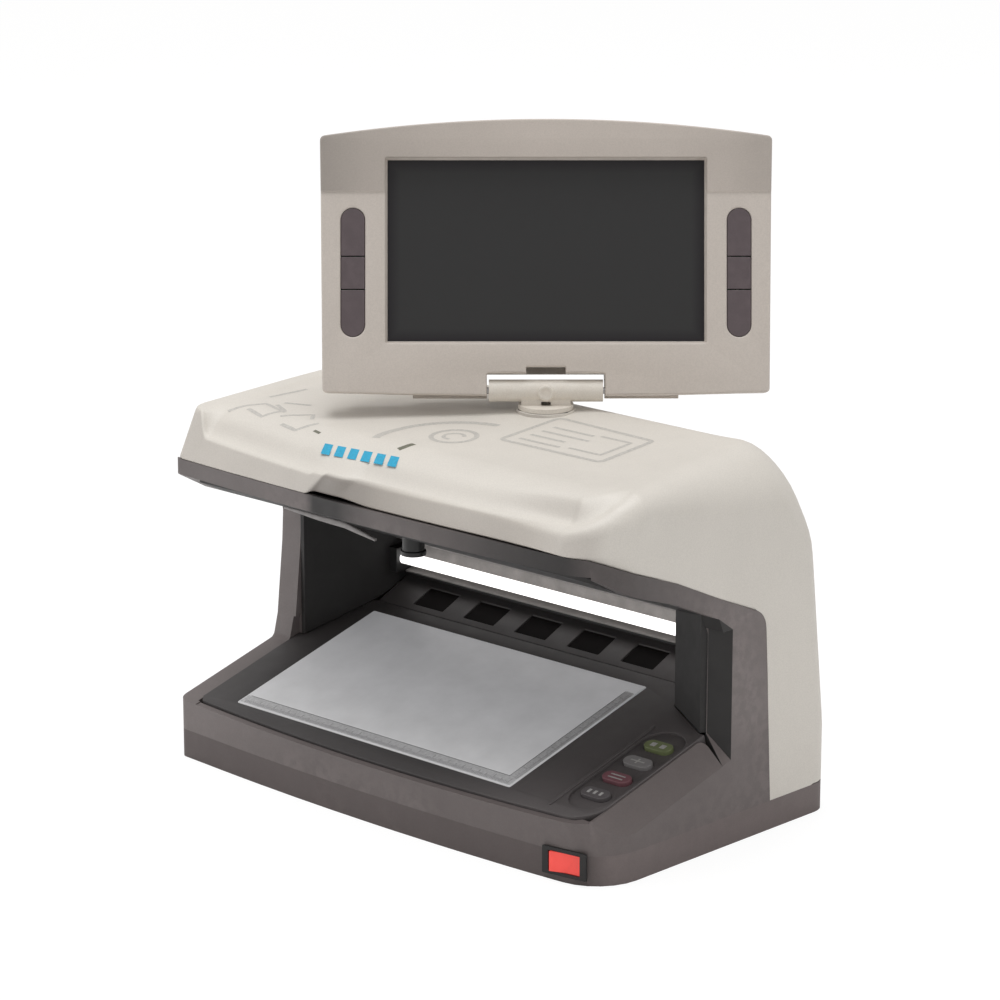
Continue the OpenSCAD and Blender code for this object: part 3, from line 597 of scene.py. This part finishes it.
def top_z(x, y):
    """Height of the hood's top: a slope that drops at its front and is slightly dished."""
    z = TOP_Z + (y - TOP_Y) * TOP_SLOPE
    if y < NOSE_Y:
        drop = NOSE_DROP * (math.sqrt(1 + ((NOSE_Y - y) / NOSE_LENGTH) ** 2) - 1)
        z -= drop * smooth_step(-137, -126, x)
    inside = min(smooth_step(-134, -128, x), smooth_step(124, 88, x), smooth_step(64, 54, y))
    return z - TOP_DISH * inside * smooth_step(-66, -30, y)


def fascia_lean(x, z):
    """How far the front leans back at height z."""
    crease_z = top_z(x, curve_at(CREASE_Y, x))
    t = max(0.0, min(1.15, (z - BROW_Z) / (crease_z - BROW_Z)))
    shifted = slanted(x, z) if -60 < x < 0 else x
    back_off = curve_at(CREASE_Y, shifted) - (FRONT_Y - bow(x))
    return back_off * t + RECESS_DEPTH * fascia_recess(x, z) * (1 - t)


def edge_path(y0):
    """(y, z) along the side's lower edge at even steps, from y0 to the rear."""
    points = [(y0, curve_at(EDGE, y0))] + [p for p in EDGE if p[0] > y0]
    lengths = [0.0]
    for a, b in zip(points, points[1:]):
        lengths.append(lengths[-1] + math.dist(a, b))
    ys, zs = [list(zip(lengths, values)) for values in zip(*points)]
    runs = [lengths[-1] * i / EDGE_COLUMNS for i in range(EDGE_COLUMNS + 1)]
    return [(curve_at(ys, run), curve_at(zs, run)) for run in runs]


def side_columns(corner):
    """Columns of one side behind a front corner of that radius: (share of the way back, lower edge)."""
    y0, y1 = FRONT_Y + corner, REAR_Y - RR
    columns = [((y - y0) / (y1 - y0), z) for y, z in edge_path(y0)]
    last = columns[-1][0]
    return columns + [(last + (1 - last) * i / FOOT_COLUMNS, FOOT_Z) for i in range(1, FOOT_COLUMNS + 1)]


def even_columns(segment, count, low):
    return [(segment, i / count, low) for i in range(count)]


def column_list():
    """Every column of the cover, once round from the front's left end: (segment, share, lower edge)."""
    return (
        even_columns("front", 140, None)
        + even_columns("fr", 22, None)
        + [("right", f, z) for f, z in side_columns(FR)[:-1]]
        + even_columns("rr", 18, FOOT_Z)
        + even_columns("rear", 56, FOOT_Z)
        + even_columns("rl", 18, FOOT_Z)
        + [("left", f, z) for f, z in reversed(side_columns(FL)[1:])]
        + even_columns("fl", 16, None)
    )


def side_y(f, z, y0, y1):
    """y of a side column at height z: upright beside the casing, leaning with the rear wall above it."""
    y_low = REAR_Y - RR
    share = smooth_step(0.74, 1.0, f)
    share += (f - share) * smooth_step(112, 150, z)
    return y0 + (y_low - y0) * f - (y_low - y1) * share


def shrunk(radius, inset):
    """A corner's radius after an inset, and how far its centre then moves in."""
    return max(radius - inset, 0.5), max(inset - radius + 0.5, 0)


def outline_point(segment, f, z, inset=0.0):
    """Plan point of the cover's wall at height z, pulled in by inset."""
    grow = smooth_step(132, ROOF_Z, z)
    rr = RR + (RR_TOP - RR) * grow
    rl = RR + (RL_TOP - RR) * grow
    xr = HALF_W - SIDE_DRAFT * smooth_step(120, 180, z)
    xl = LEFT_X + SIDE_DRAFT * max(0.0, min(1.0, (z - 150) / 30))
    yr = REAR_Y - REAR_LEAN * max(0.0, z - REAR_LEAN_Z)
    c, s = math.cos(math.pi / 2 * f), math.sin(math.pi / 2 * f)
    if segment == "front":
        x = xl + FL + (xr - FR - xl - FL) * f
        return Vector((x, FRONT_Y - bow(x) + fascia_lean(x, z) + inset))
    if segment == "fr":
        r = FR - inset
        x = xr - FR + r * s
        bulge = bow(min(x, HALF_W)) * (c if inset else 1)
        return Vector((x, FRONT_Y + fascia_lean(xr, z) + FR - r * c - bulge))
    if segment == "right":
        return Vector((xr - inset, side_y(f, z, FRONT_Y + fascia_lean(xr, z) + FR, yr - rr)))
    if segment == "rr":
        r, k = shrunk(rr, inset)
        return Vector((xr - rr - k + r * c, yr - rr - k + r * s))
    if segment == "rear":
        return Vector((xr - rr + (xl + rl - xr + rr) * f, yr - inset))
    if segment == "rl":
        r, k = shrunk(rl, inset)
        return Vector((xl + rl + k - r * s, yr - rl - k + r * c))
    if segment == "left":
        return Vector((xl + inset, side_y(f, z, FRONT_Y + fascia_lean(xl, z) + FL, yr - rl)))
    r, k = shrunk(FL, inset)
    x = xl + FL + k - r * c
    return Vector((x, FRONT_Y + fascia_lean(xl + FL * 0.3, z) + FL + k - r * s - bow(max(x, -HALF_W))))


def roll_radius(segment, f):
    """Radius of the top's rounding above each column."""
    return {
        "front": 2.2 + 3.8 * smooth_step(0.74, 1.0, f),
        "fr": 6 + 4 * smooth_step(0, 1, f),
        "right": 10 + 21 * f,
        "rr": 31 - 9 * smooth_step(0, 1, f),
        "rear": 22 - 7 * smooth_step(0.7, 1, f),
        "rl": 15 - 10 * f,
        "left": 2.4 + 2.6 * smooth_step(0.5, 1, f),
        "fl": 2.4,
    }[segment]


def cover_walls():
    """(segment, share, lower edge, top, roll radius) of every column."""
    walls = []
    for segment, f, low in column_list():
        base = outline_point(segment, f, 155)
        if low is None:
            low = curve_at(EDGE, base.y)
            if segment != "fl":
                raised = 0.5 + 1.2 * smooth_step(-2, -26, base.x)
                low += raised * smooth_step(-47, -42, base.x) * smooth_step(122, 98, base.x)
        radius = roll_radius(segment, f)
        crest = top_z(base.x, curve_at(CREASE_Y, base.x) + 0.75 * (radius - 2.2))
        high = min(crest, top_z(base.x, base.y))
        if segment != "front":
            inner = outline_point(segment, f, 168 if segment in ("fr", "fl") else 175, radius)
            blend = {"fr": f, "fl": 1 - f}.get(segment, 1)
            high = (1 - blend) * high + blend * top_z(inner.x, inner.y)
        walls.append((segment, f, low, high, radius))
    return walls


def is_steep(segment, low):
    """Whether a column stands beside the casing's upright edge, where the lip has no room to stand out."""
    return segment in ("right", "left") and low < STEEP_Z


def lip_loops(walls):
    """Loops of the rounded lip along the cover's lower edge, from the inside out."""
    lows = [Vector((*outline_point(segment, f, low), low)) for segment, f, low, high, radius in walls]
    section = [(-2.4, 3.5), (-2.4, 0.3), (-1.9, 0.0), (-0.9, 0.0), (-0.35, 0.15), (-0.1, 0.4),
               (0.0, LIP_HEIGHT)]
    loops = []
    for outward, up in section:
        loop = []
        for i, (segment, f, low, high, radius) in enumerate(walls):
            tangent = (lows[(i + 1) % len(lows)] - lows[i - 1]).normalized()
            normal = Vector((tangent.y, -tangent.x, 0)).normalized()
            if segment in ("right", "left"):
                normal = Vector((1 if segment == "right" else -1, 0, 0))
            along = normal.cross(tangent).normalized()
            if along.z < 0:
                along.negate()
            if segment == "left" and along.y < 0 and abs(along.z) < 0.3:
                along.negate()
            tuck = LIP_TUCK if is_steep(segment, low) and outward > -0.5 else 0.0
            loop.append(lows[i] + normal * (outward - tuck) + along * up)
        loops.append(loop)
    return loops


def cover_loops():
    """Loops of the whole cover: lip, wall, rounding, and a top that closes on a ridge along its middle."""
    wall_rows, roll_rows, top_rows = 26, 9, 44
    ridge_y, ridge_half = -2.0, 88
    walls = cover_walls()
    loops = lip_loops(walls)
    for k in range(wall_rows + 1):
        loop = []
        for segment, f, low, high, radius in walls:
            start = low if is_steep(segment, low) else low + LIP_HEIGHT
            z = start + (high - radius - start) * k / wall_rows
            loop.append((*outline_point(segment, f, z), z))
        loops.append(loop)
    for k in range(1, roll_rows + 1):
        a = math.pi / 2 * k / roll_rows
        loop = []
        for segment, f, low, high, radius in walls:
            z = high - radius * (1 - math.sin(a))
            loop.append((*outline_point(segment, f, min(z, ROOF_Z), radius * (1 - math.cos(a))), z))
        loops.append(loop)
    edge = loops[-1]
    for k in range(1, top_rows + 1):
        s = k / top_rows
        rest = 1 - smooth_step(0.0, 0.16, s)
        loop = []
        for x0, y0, z0 in edge:
            x = x0 + (max(-ridge_half, min(ridge_half, x0 * 0.9)) - x0) * s
            y = y0 + (ridge_y - y0) * s
            loop.append((x, y, top_z(x, y) + (z0 - top_z(x0, y0)) * rest))
        loops.append(loop)
    return loops


place(loft("cover", cover_loops(), 0, "cover_plastic", 50), "body", "cover_plastic", "top_cover")

# ---- monitor: x across, z up the screen, in its own frame ----

MON_W = 219.5
FACE_Y, SPLIT_Y = -5.6, 4.4
SCREEN = (-78.0, 23.0, 78.0, 113.0)
CREASE, CREASE_STEP, PANEL_LEAN = 96.0, 0.5, 0.13
ARCH_Z, ARCH_DROP, ARCH_END_Z = 131.5, 8.2, 123.3
KEY_X, KEY_Z = 93.9, 57.3


def shrink(box, inset):
    """Corner points of a box (x0, z0, x1, z1) after an inset."""
    x0, z0, x1, z1 = box[0] + inset, box[1] + inset, box[2] - inset, box[3] - inset
    return [(x0, z0), (x1, z0), (x1, z1), (x0, z1)]


def bezel_outline():
    """The bezel's outline: arched top, and a notch below for the hinge."""
    h = MON_W / 2
    top = [(x, ARCH_Z - ARCH_DROP * (2 * x / MON_W) ** 2, 0) for x in range(104, -105, -8)]
    foot = [(-h + 1, -1, 2.0), (-68, -2.1, 0), (-28.8, -2.7, 0.6), (-28.8, 8.2, 0.8), (-9.6, 8.2, 0.4),
            (-9.6, 11.4, 0.6), (9.6, 11.4, 0.6), (9.6, 8.2, 0.4), (28.8, 8.2, 0.8), (28.8, -2.7, 0.6),
            (68, -2.1, 0), (h - 1, -1, 2.0)]
    return round_loop(foot + [(h, ARCH_END_Z, 2.5)] + top + [(-h, ARCH_END_Z, 2.5)], 4)


def build_bezel():
    """Bezel with its window and key wells; the panel above the crease leans forward."""
    wells = [pill_loop(side * KEY_X, KEY_Z, 62.8, 11.9) for side in (-1, 1)]
    bm = slab("bezel", [bezel_outline(), box_loop(*SCREEN, 0.8)] + wells, (FACE_Y, SPLIT_Y), 0.9, 3)
    for z in (CREASE - 0.8, CREASE, CREASE + 0.8):
        geom = list(bm.verts) + list(bm.edges) + list(bm.faces)
        bmesh.ops.bisect_plane(bm, geom=geom, plane_co=(0, 0, z * MM), plane_no=(0, 0, 1))
    for v in bm.verts:
        x, y, z = v.co / MM
        front = smooth_step(3.5, -3.0, y)
        if z > CREASE + 0.1 and front > 0:
            v.co.y -= (CREASE_STEP + (z - CREASE) * PANEL_LEAN) * front * MM
    return finish_mesh("bezel", bm, "bezel_plastic", 28, MONITOR)


place(build_bezel(), "monitor", "monitor_plastic", "monitor_bezel")

# sloped bevel that runs round the window down to the display
slope = [[(x, y, z) for x, z in shrink(SCREEN, inset)]
         for inset, y in ((-0.1, -4.8), (0.55, -3.4), (0.75, -2.6), (0.9, -1.9))]
place(loft("window_bevel", slope, 0, "monitor_plastic", 30, MONITOR), "monitor", "monitor_plastic")

# display module, its glass front and the metal frame behind in one closed piece
DISPLAY = (-82.4, 18.6, 82.4, 117.4)
layers = [[(x, y, z) for x, z in shrink(DISPLAY, inset)]
          for inset, y in ((0.0, 2.9), (0.0, -1.7), (0.25, -1.75), (1.2, -1.75))]
place(loft("display", layers, 2, "screen_dark", 20, MONITOR), "monitor", "screen_dark", "lcd_panel")

# ---- parts kept from the CAD: (node, material slot, edge rounding in mm, its segments) ----

DRESS = [
    ("base_tray", "tray_plastic", 0.9, 3), ("rubber_feet", "foot_rubber", 0.4, 2),
    ("case_screws", "screw_steel", 0.1, 1), ("mid_casing", "casing_plastic", 0.9, 3),
    ("chamber_liner", "chamber_plastic", 0.5, 2), ("ceiling_panel", "chamber_plastic", 0.4, 2),
    ("backlight_board", "circuit_board", 0.1, 1), ("window_panel", "bed_plastic", 0.4, 2),
    ("sensor_windows", "window_filter", 0.2, 2), ("sensor_board", "circuit_board", 0.1, 1),
    ("lamp_tube", "lamp_glass", 0.3, 2), ("lamp_holders", "black_plastic", 0.5, 2),
    ("lamp_reflector", "reflector_steel", 0.15, 2), ("camera_barrel", "black_plastic", 0.3, 2),
    ("camera_lens", "lens_glass", 0.2, 2), ("camera_board", "circuit_board", 0.1, 1),
    ("button_board", "circuit_board", 0.1, 1), ("mode_button_grey", "button_grey", 0.6, 3),
    ("mode_button_red", "button_red", 0.6, 3), ("mode_button_white", "button_white", 0.6, 3),
    ("mode_button_green", "button_green", 0.6, 3), ("switch_bezel", "black_plastic", 0.4, 2),
    ("switch_rocker", "rocker_red", 0.5, 3), ("power_supply", "circuit_board", 0.2, 1),
    ("lamp_ballast", "circuit_board", 0.2, 1), ("main_board", "circuit_board", 0.1, 1),
    ("power_inlet", "black_plastic", 0.4, 2), ("signal_sockets", "socket_metal", 0.2, 2),
    ("hinge_plate", "cover_plastic", 0.4, 2), ("hinge_screws", "screw_steel", 0.1, 1),
    ("hinge_knuckle", "hinge_plastic", 0.5, 3), ("swivel_nut", "screw_steel", 0.2, 2),
    ("hinge_pin", "screw_steel", 0.2, 2), ("monitor_shell", "monitor_plastic", 0.8, 3),
    ("monitor_board", "circuit_board", 0.1, 1), ("monitor_screws", "screw_steel", 0.1, 1),
    ("key_boards", "circuit_board", 0.1, 1),
]
DRESS += [(f"monitor_key_{side}{i}", "key_plastic", 0.55, 3) for side in "lr" for i in (1, 2, 3)]
for part in DRESS:
    dress(*part)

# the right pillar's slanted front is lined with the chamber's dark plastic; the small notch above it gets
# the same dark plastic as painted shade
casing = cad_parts["mid_casing"]
casing.data.materials.append(MATERIALS["chamber_plastic"])
for p in casing.data.polygons:
    x, y, z = p.center / MM
    on_facet = 126 < x < 141.3 and -6 < y < 12.5 and 45 < z < 112
    shaded_notch = x > 141 and 2 < y < 12 and 106 < z < 109
    if shaded_notch or (on_facet and p.normal.x < 0.6 and abs(p.normal.z) < 0.5):
        p.material_index = 1
casing.modifiers["flat"].delimit = {"MATERIAL"}

# ---- small parts added to the casing and the hinge ----


def circle(cx, cz, r, steps):
    return arc(cx, cz, r, 0, 2 * math.pi, steps)[:-1]


# turned boss on the end of the hinge's barrel, (radius, height) along the swivel's -Y axis
BOSS = [(3.9, 3.6), (3.9, 5.5), (3.75, 5.9), (3.4, 6.1), (2.6, 6.15), (2.3, 5.95), (0.6, 5.9)]
turned = [[(x, -height, z) for x, z in circle(0, 0, radius, 32)] for radius, height in BOSS]
place(loft("barrel_boss", turned, 1, "hinge_plastic", 40, SWIVEL), "swivel", "hinge_plastic")

# curved light-grey lip that hangs from the ceiling in front of the lamp's left end, thickest in its middle
GUARD = [(-84, -60, 137.2), (-72, -59.4, 136.5), (-62, -59, 135.9), (-52, -58.6, 135.6),
         (-44, -58.2, 135.3), (-38, -58, 134.2), (-31, -57.5, 132.8), (-24.5, -57, 131.4)]
sections = []
for i, (x, y, z) in enumerate(GUARD):
    h = 0.5 + 1.0 * math.sin(math.pi * (i + 0.5) / len(GUARD))
    section = [(-0.5, h), (0.5, h), (0.9, h - 0.4), (0.9, 0.4 - h), (0.5, -h), (-0.5, -h), (-0.9, 0.4 - h),
               (-0.9, h - 0.4)]
    sections.append([(x, y + dy, z + dz) for dy, dz in section])
place(loft("lamp_guard", sections, 2, "guard_plastic", 60), "body", "chamber_plastic")

# openings and contacts of the power inlet and the two sockets, on the rear wall
INLET_X, SOCKET_Z, SOCKET_XS = 95.0, 32.0, (38.0, 56.0)
WELL_YS = (REAR_Y - 0.1, REAR_Y + 0.15)
PIN_YS = (REAR_Y + 0.05, REAR_Y + 0.4)


def rear_plate(name, outline, ys, material, slot):
    """Small plate facing the rear, from an outline of (x, z) points in mm."""
    loops = [[(x, y, z) for x, z in outline] for y in ys]
    place(loft(name, loops, 1, material, 30), "body", slot)


left_x, right_x, low_z, high_z = INLET_X - 11.2, INLET_X + 11.2, SOCKET_Z - 7.2, SOCKET_Z + 7.2
inlet = round_loop([(left_x, low_z, 1), (right_x, low_z, 1), (right_x, high_z, 4), (left_x, high_z, 4)])
rear_plate("inlet_well", inlet, WELL_YS, "window_filter", "black_plastic")
for i, (dx, dz) in enumerate(((-5.5, -1.5), (0, 2.0), (5.5, -1.5))):
    x, z = INLET_X + dx, SOCKET_Z + dz
    blade = box_loop(x - 0.8, z - 2, x + 0.8, z + 2, 0.3)
    rear_plate(f"inlet_blade_{i + 1}", blade, PIN_YS, "screw_steel", "screw_steel")
for i, x in enumerate(SOCKET_XS):
    well, pin = [circle(x, SOCKET_Z, radius, 24) for radius in (3.1, 0.9)]
    rear_plate(f"socket_well_{i + 1}", well, WELL_YS, "window_filter", "black_plastic")
    rear_plate(f"socket_pin_{i + 1}", pin, PIN_YS, "socket_metal", "socket_metal")

# ---- bed frame and viewing plate: x across, s up the slope, in the bed's own frame ----

PLATE = (-111.05, 8.5, 75.45, 108.5)
BUTTON_X, BUTTON_S, BUTTON_PITCH = 117.6, 22.3, 15.1
BUTTON_MID = 45


def merged(parts):
    """One bmesh from several, which are used up."""
    whole = bmesh.new()
    for part in parts:
        temp = bpy.data.meshes.new("temp")
        part.to_mesh(temp)
        part.free()
        whole.from_mesh(temp)
        bpy.data.meshes.remove(temp)
    return whole


def button_hole(i):
    return [(BUTTON_X + z, BUTTON_S + BUTTON_PITCH * i + x) for x, z in pill_loop(0, 0, 16.4, 7.8)]


def build_bed_frame():
    """Bed round the plate, with the recessed floor of the buttons and a fine ridge beside it."""
    front = [(x, FRONT_Y + 3 - bow(x)) for x in (-130, *range(-126, 113, 7))]
    plan = [(-133, -5.1), (-133, FRONT_Y + 6 - bow(-133)), *front, (118, -76.6), (122, -75.4),
            (125, -73.4), (127.5, -71), (129.6, -67.8), (130.8, -64), (130.8, 4.9), (128.2, 4.9),
            (99.4, 19.5), (99.4, 36), (-119.3, 36), (-128.8, -5.1)]
    outline = [(x, (y - FRONT_Y) / math.cos(BED_TILT)) for x, y in plan]
    recess = pill_loop(BUTTON_X, BUTTON_MID, 72, 24)
    floor_edge = pill_loop(BUTTON_X, BUTTON_MID, 72.6, 24.6)
    whole = merged([
        slab("bed_top", [outline, box_loop(*PLATE, 0.8), recess], (0, 5), 0.45, 2),
        slab("bed_well", [floor_edge] + [button_hole(i) for i in range(4)], (1.4, 5.0), 0.25, 2),
        slab("bed_ridge", [box_loop(103, 5, 104.6, 81, 0.7)], (-0.8, 1.0), 0.4, 2),
    ])
    for v in whole.verts:
        v.co = Vector((v.co.x, v.co.z, -v.co.y))
    return finish_mesh("bed", whole, "bed_plastic", 28, BED)


place(build_bed_frame(), "body", "bed_plastic", "bed_frame")

# satin plate with a softened rim
rims = []
for inset, height in ((0.1, -3.0), (0.1, -0.1), (0.22, 0.18), (0.55, 0.3)):
    (x0, s0), (x1, s1) = shrink(PLATE, inset)[::2]
    rims.append([(x, s, height) for x, s in box_loop(x0, s0, x1, s1, 0.6)])
place(loft("plate", rims, 2, "plate_acrylic", 40, BED), "body", "plate_acrylic", "viewing_plate")


def print_bars(name, bars, height, material, body, slot):
    """Thin printed bars (x0, s0, x1, s1) on the bed."""
    bm = bmesh.new()
    for box in bars:
        bm.faces.new(ring(bm, [(x, s, height) for x, s in shrink(box, 0)]))
    place(finish_mesh(name, bm, material, 40, BED), body, slot)


def tick_length(i, ten, five, one):
    return ten if i % 10 == 0 else (five if i % 5 == 0 else one)


x0, s0, x1, s1 = PLATE
band = [(x0 + 1, s0 + 1, x1 - 1, s0 + 7.4), (x1 - 6.6, s0 + 7.4, x1 - 1, s1 - 8)]
print_bars("ruler_band", band, 0.32, "ruler_band", "body", "plate_acrylic")
ticks = []
for i in range(1, 181):
    x = x0 + 3 + i
    ticks.append((x - 0.13, s0 + 1.6, x + 0.13, s0 + 1.6 + tick_length(i, 4.2, 3.0, 1.9)))
for i in range(1, 84):
    s = s0 + 6 + i
    ticks.append((x1 - 1.4 - tick_length(i, 3.8, 2.8, 1.8), s - 0.12, x1 - 1.4, s + 0.12))
ticks.append((x0 + 3, s0 + 7.3, x1 - 6.6, s0 + 7.7))
ticks.append((x1 - 6.8, s0 + 7.3, x1 - 6.4, s1 - 8))
print_bars("ruler_marks", ticks, 0.34, "ruler_ink", "body", "plate_acrylic")

# plain bar signs on the buttons, as boxes round each button's middle
SIGNS = {
    "grey": [(-4.6, -1.4, -3.0, 1.4), (-1.0, -1.4, 0.6, 1.4), (2.6, -1.4, 4.2, 1.4)],
    "red": [(-4.4, -1.6, 4.4, -0.8), (-4.4, 0.8, 4.4, 1.6)],
    "white": [(-4.2, -0.4, 4.2, 0.4), (-0.5, -1.9, 0.5, 1.9)],
    "green": [(-4.4, -1.5, -1.4, 1.5), (1.4, -1.5, 4.4, 1.5)],
}
for i, (color, boxes) in enumerate(SIGNS.items()):
    s = BUTTON_S + BUTTON_PITCH * i
    marks = [(BUTTON_X + a, s + b, BUTTON_X + c, s + d) for a, b, c, d in boxes]
    print_bars(f"{color}_button_icon", marks, 0.64, "icon_ink", f"{color}_button", f"button_{color}")

# ---- printed shapes on the hood ----


def on_hood(bm, points):
    """New vertices just above the hood's top, at plan points in mm."""
    return ring(bm, [(x, y, top_z(x, y) + 0.06) for x, y in points])


def ribbon(bm, path, width):
    """Ribbon of printed ink along a path on the hood's top."""
    left_side, right_side = [], []
    for i, p in enumerate(path):
        a = Vector(path[max(i - 1, 0)])
        b = Vector(path[min(i + 1, len(path) - 1)])
        normal = Vector((-(b - a).y, (b - a).x)).normalized() * width / 2
        left_side.append((p[0] + normal.x, p[1] + normal.y))
        right_side.append((p[0] - normal.x, p[1] - normal.y))
    bridge(bm, [on_hood(bm, left_side), on_hood(bm, right_side)], closed=False)


def between(a, b, t):
    return (a[0] + (b[0] - a[0]) * t, a[1] + (b[1] - a[1]) * t)


def dense(points):
    """The same path with a point at least every 2.5 mm or so."""
    result = []
    for a, b in zip(points, points[1:]):
        n = max(1, int(math.dist(a, b) / 2.5))
        result += [between(a, b, i / n) for i in range(n)]
    return result + [points[-1]]


def degrees_arc(cx, cy, r, first, last):
    return arc(cx, cy, r, math.radians(first), math.radians(last - first), 28)


def print_hood(name, bm, material):
    place(finish_mesh(name, bm, material, 40), "body", "cover_plastic")


bm = bmesh.new()
ribbon(bm, degrees_arc(5, -36, 38, 96, 203), 4.0)
ribbon(bm, degrees_arc(-3, -25, 11, 0, 360), 2.6)
ribbon(bm, degrees_arc(-3, -25, 5, 30, 290), 2.0)
frame_loop = round_loop([(18, -15, 3), (82, -15, 3), (78, 27, 3), (15, 30, 3)])
ribbon(bm, dense(frame_loop + frame_loop[:1]), 2.6)
for y in (-8, 0, 8, 16):
    ribbon(bm, dense([(24, y), (46 + (y % 3) * 4, y)]), 2.2)
ribbon(bm, dense([(54, -6), (74, -6), (72, 18), (53, 18)]), 2.0)
STROKES = [
    [(-126, -58), (-118, -40), (-98, -46)], [(-118, -52), (-104, -56), (-100, -44), (-112, -38)],
    [(-95, -52), (-84, -40), (-78, -47)], [(-88, -58), (-76, -60), (-70, -50)], [(-112, -33), (-98, -28)],
    [(-126, -30), (-122, -8)],
]
for stroke in STROKES:
    ribbon(bm, dense(stroke), 2.2)
print_hood("hood_outlines", bm, "graphic_grey")

bm = bmesh.new()
ribbon(bm, dense([(-9.6, -56), (-8.4, -53), (-7.4, -47.6)]), 3.4)
ribbon(bm, dense([(-66, -57), (-61, -58)]), 1.6)
print_hood("hood_marks", bm, "graphic_dark")

# row of slanted bars near the front, each a grid of cells that follows the top's curve
BARS, CELLS = 6, 6
bm = bmesh.new()
for i in range(BARS):
    x, y = -48.0 + 8.5 * i, -70.2 + 0.45 * i
    rows = []
    for k in range(CELLS + 1):
        a = between((x, y), (x - 3.5, y + 6.5), k / CELLS)
        b = between((x + 5.6, y + 0.3), (x + 1.9, y + 6.8), k / CELLS)
        rows.append(on_hood(bm, [between(a, b, m / CELLS) for m in range(CELLS + 1)]))
    bridge(bm, rows, closed=False)
print_hood("hood_bars", bm, "graphic_blue")

# ---- floor, light and camera, in metres ----


def show_camera(tree, seen, others, end):
    """Shows one shader to the camera's own rays and another to all the rest."""
    rays = tree.nodes.new("ShaderNodeLightPath")
    chooser = tree.nodes.new("ShaderNodeMixShader")
    tree.links.new(rays.outputs["Is Camera Ray"], chooser.inputs["Fac"])
    tree.links.new(others, chooser.inputs[1])
    tree.links.new(seen, chooser.inputs[2])
    tree.links.new(chooser.outputs["Shader"], tree.nodes[end].inputs["Surface"])


bm = bmesh.new()
bmesh.ops.create_grid(bm, x_segments=4, y_segments=4, size=6)
floor_mesh = bpy.data.meshes.new("floor")
bm.to_mesh(floor_mesh)
bm.free()
floor = bpy.data.objects.new("floor", floor_mesh)
bpy.context.scene.collection.objects.link(floor)
m = Nodes("floor")
m.surface(Base_Color=m.ramp(m.noise(2.0), (0.3, 0.90), (0.7, 0.93)), Roughness=0.9)
matt = m.tree.nodes["Principled BSDF"].outputs["BSDF"]
glow = m.add("Emission", Strength=1.1).outputs["Emission"]
bright = m.add("MixShader", Fac=0.8)
m.put(bright.inputs[1], matt)
m.put(bright.inputs[2], glow)
show_camera(m.tree, bright.outputs["Shader"], matt, "Material Output")
floor_mesh.materials.append(m.material)

world = bpy.data.worlds.new("studio")
world.use_nodes = True
ambient = world.node_tree.nodes["Background"]
ambient.inputs["Color"].default_value = (1, 0.985, 0.975, 1)
ambient.inputs["Strength"].default_value = 0.52
backdrop = world.node_tree.nodes.new("ShaderNodeBackground")
backdrop.inputs["Color"].default_value = (1, 1, 1, 1)
show_camera(world.node_tree, backdrop.outputs["Background"], ambient.outputs["Background"], "World Output")
bpy.context.scene.world = world


def area(name, location, target, size, power):
    """Round soft light at location, turned to target."""
    data = bpy.data.lights.new(name, "AREA")
    data.shape = "DISK"
    data.size = size
    data.energy = power
    obj = bpy.data.objects.new(name, data)
    bpy.context.scene.collection.objects.link(obj)
    obj.location = location
    obj.rotation_mode = "QUATERNION"
    obj.rotation_quaternion = (Vector(target) - Vector(location)).to_track_quat("-Z", "Y")


area("key", (-0.25, -0.05, 2.2), (0, 0, 0.15), 1.8, 30)
area("side", (2.2, 0.1, 0.8), (0, 0, 0.1), 1.4, 3)
area("near", (-0.62, -0.55, 0.10), (-0.12, 0, 0.06), 0.35, 0.7)

CAMERA_AT = Vector((1.2567, -1.3214, 0.6335))
AZIMUTH, HEIGHT = math.radians(43.48), math.radians(15.01)
camera_data = bpy.data.cameras.new("camera")
camera_data.sensor_width = 36
camera_data.lens = 140.4
camera_data.clip_start = 0.05
camera_data.clip_end = 30
camera = bpy.data.objects.new("camera", camera_data)
bpy.context.scene.collection.objects.link(camera)
level = math.cos(HEIGHT)
back = Vector((math.sin(AZIMUTH) * level, -math.cos(AZIMUTH) * level, math.sin(HEIGHT)))
right = Vector((math.cos(AZIMUTH), math.sin(AZIMUTH), 0))
rotation = Matrix((right, back.cross(right), back)).transposed().to_4x4()
camera.matrix_world = Matrix.Translation(CAMERA_AT) @ rotation
bpy.context.scene.camera = camera
bpy.context.scene.view_settings.view_transform = "Standard"
bpy.context.scene.render.film_transparent = False
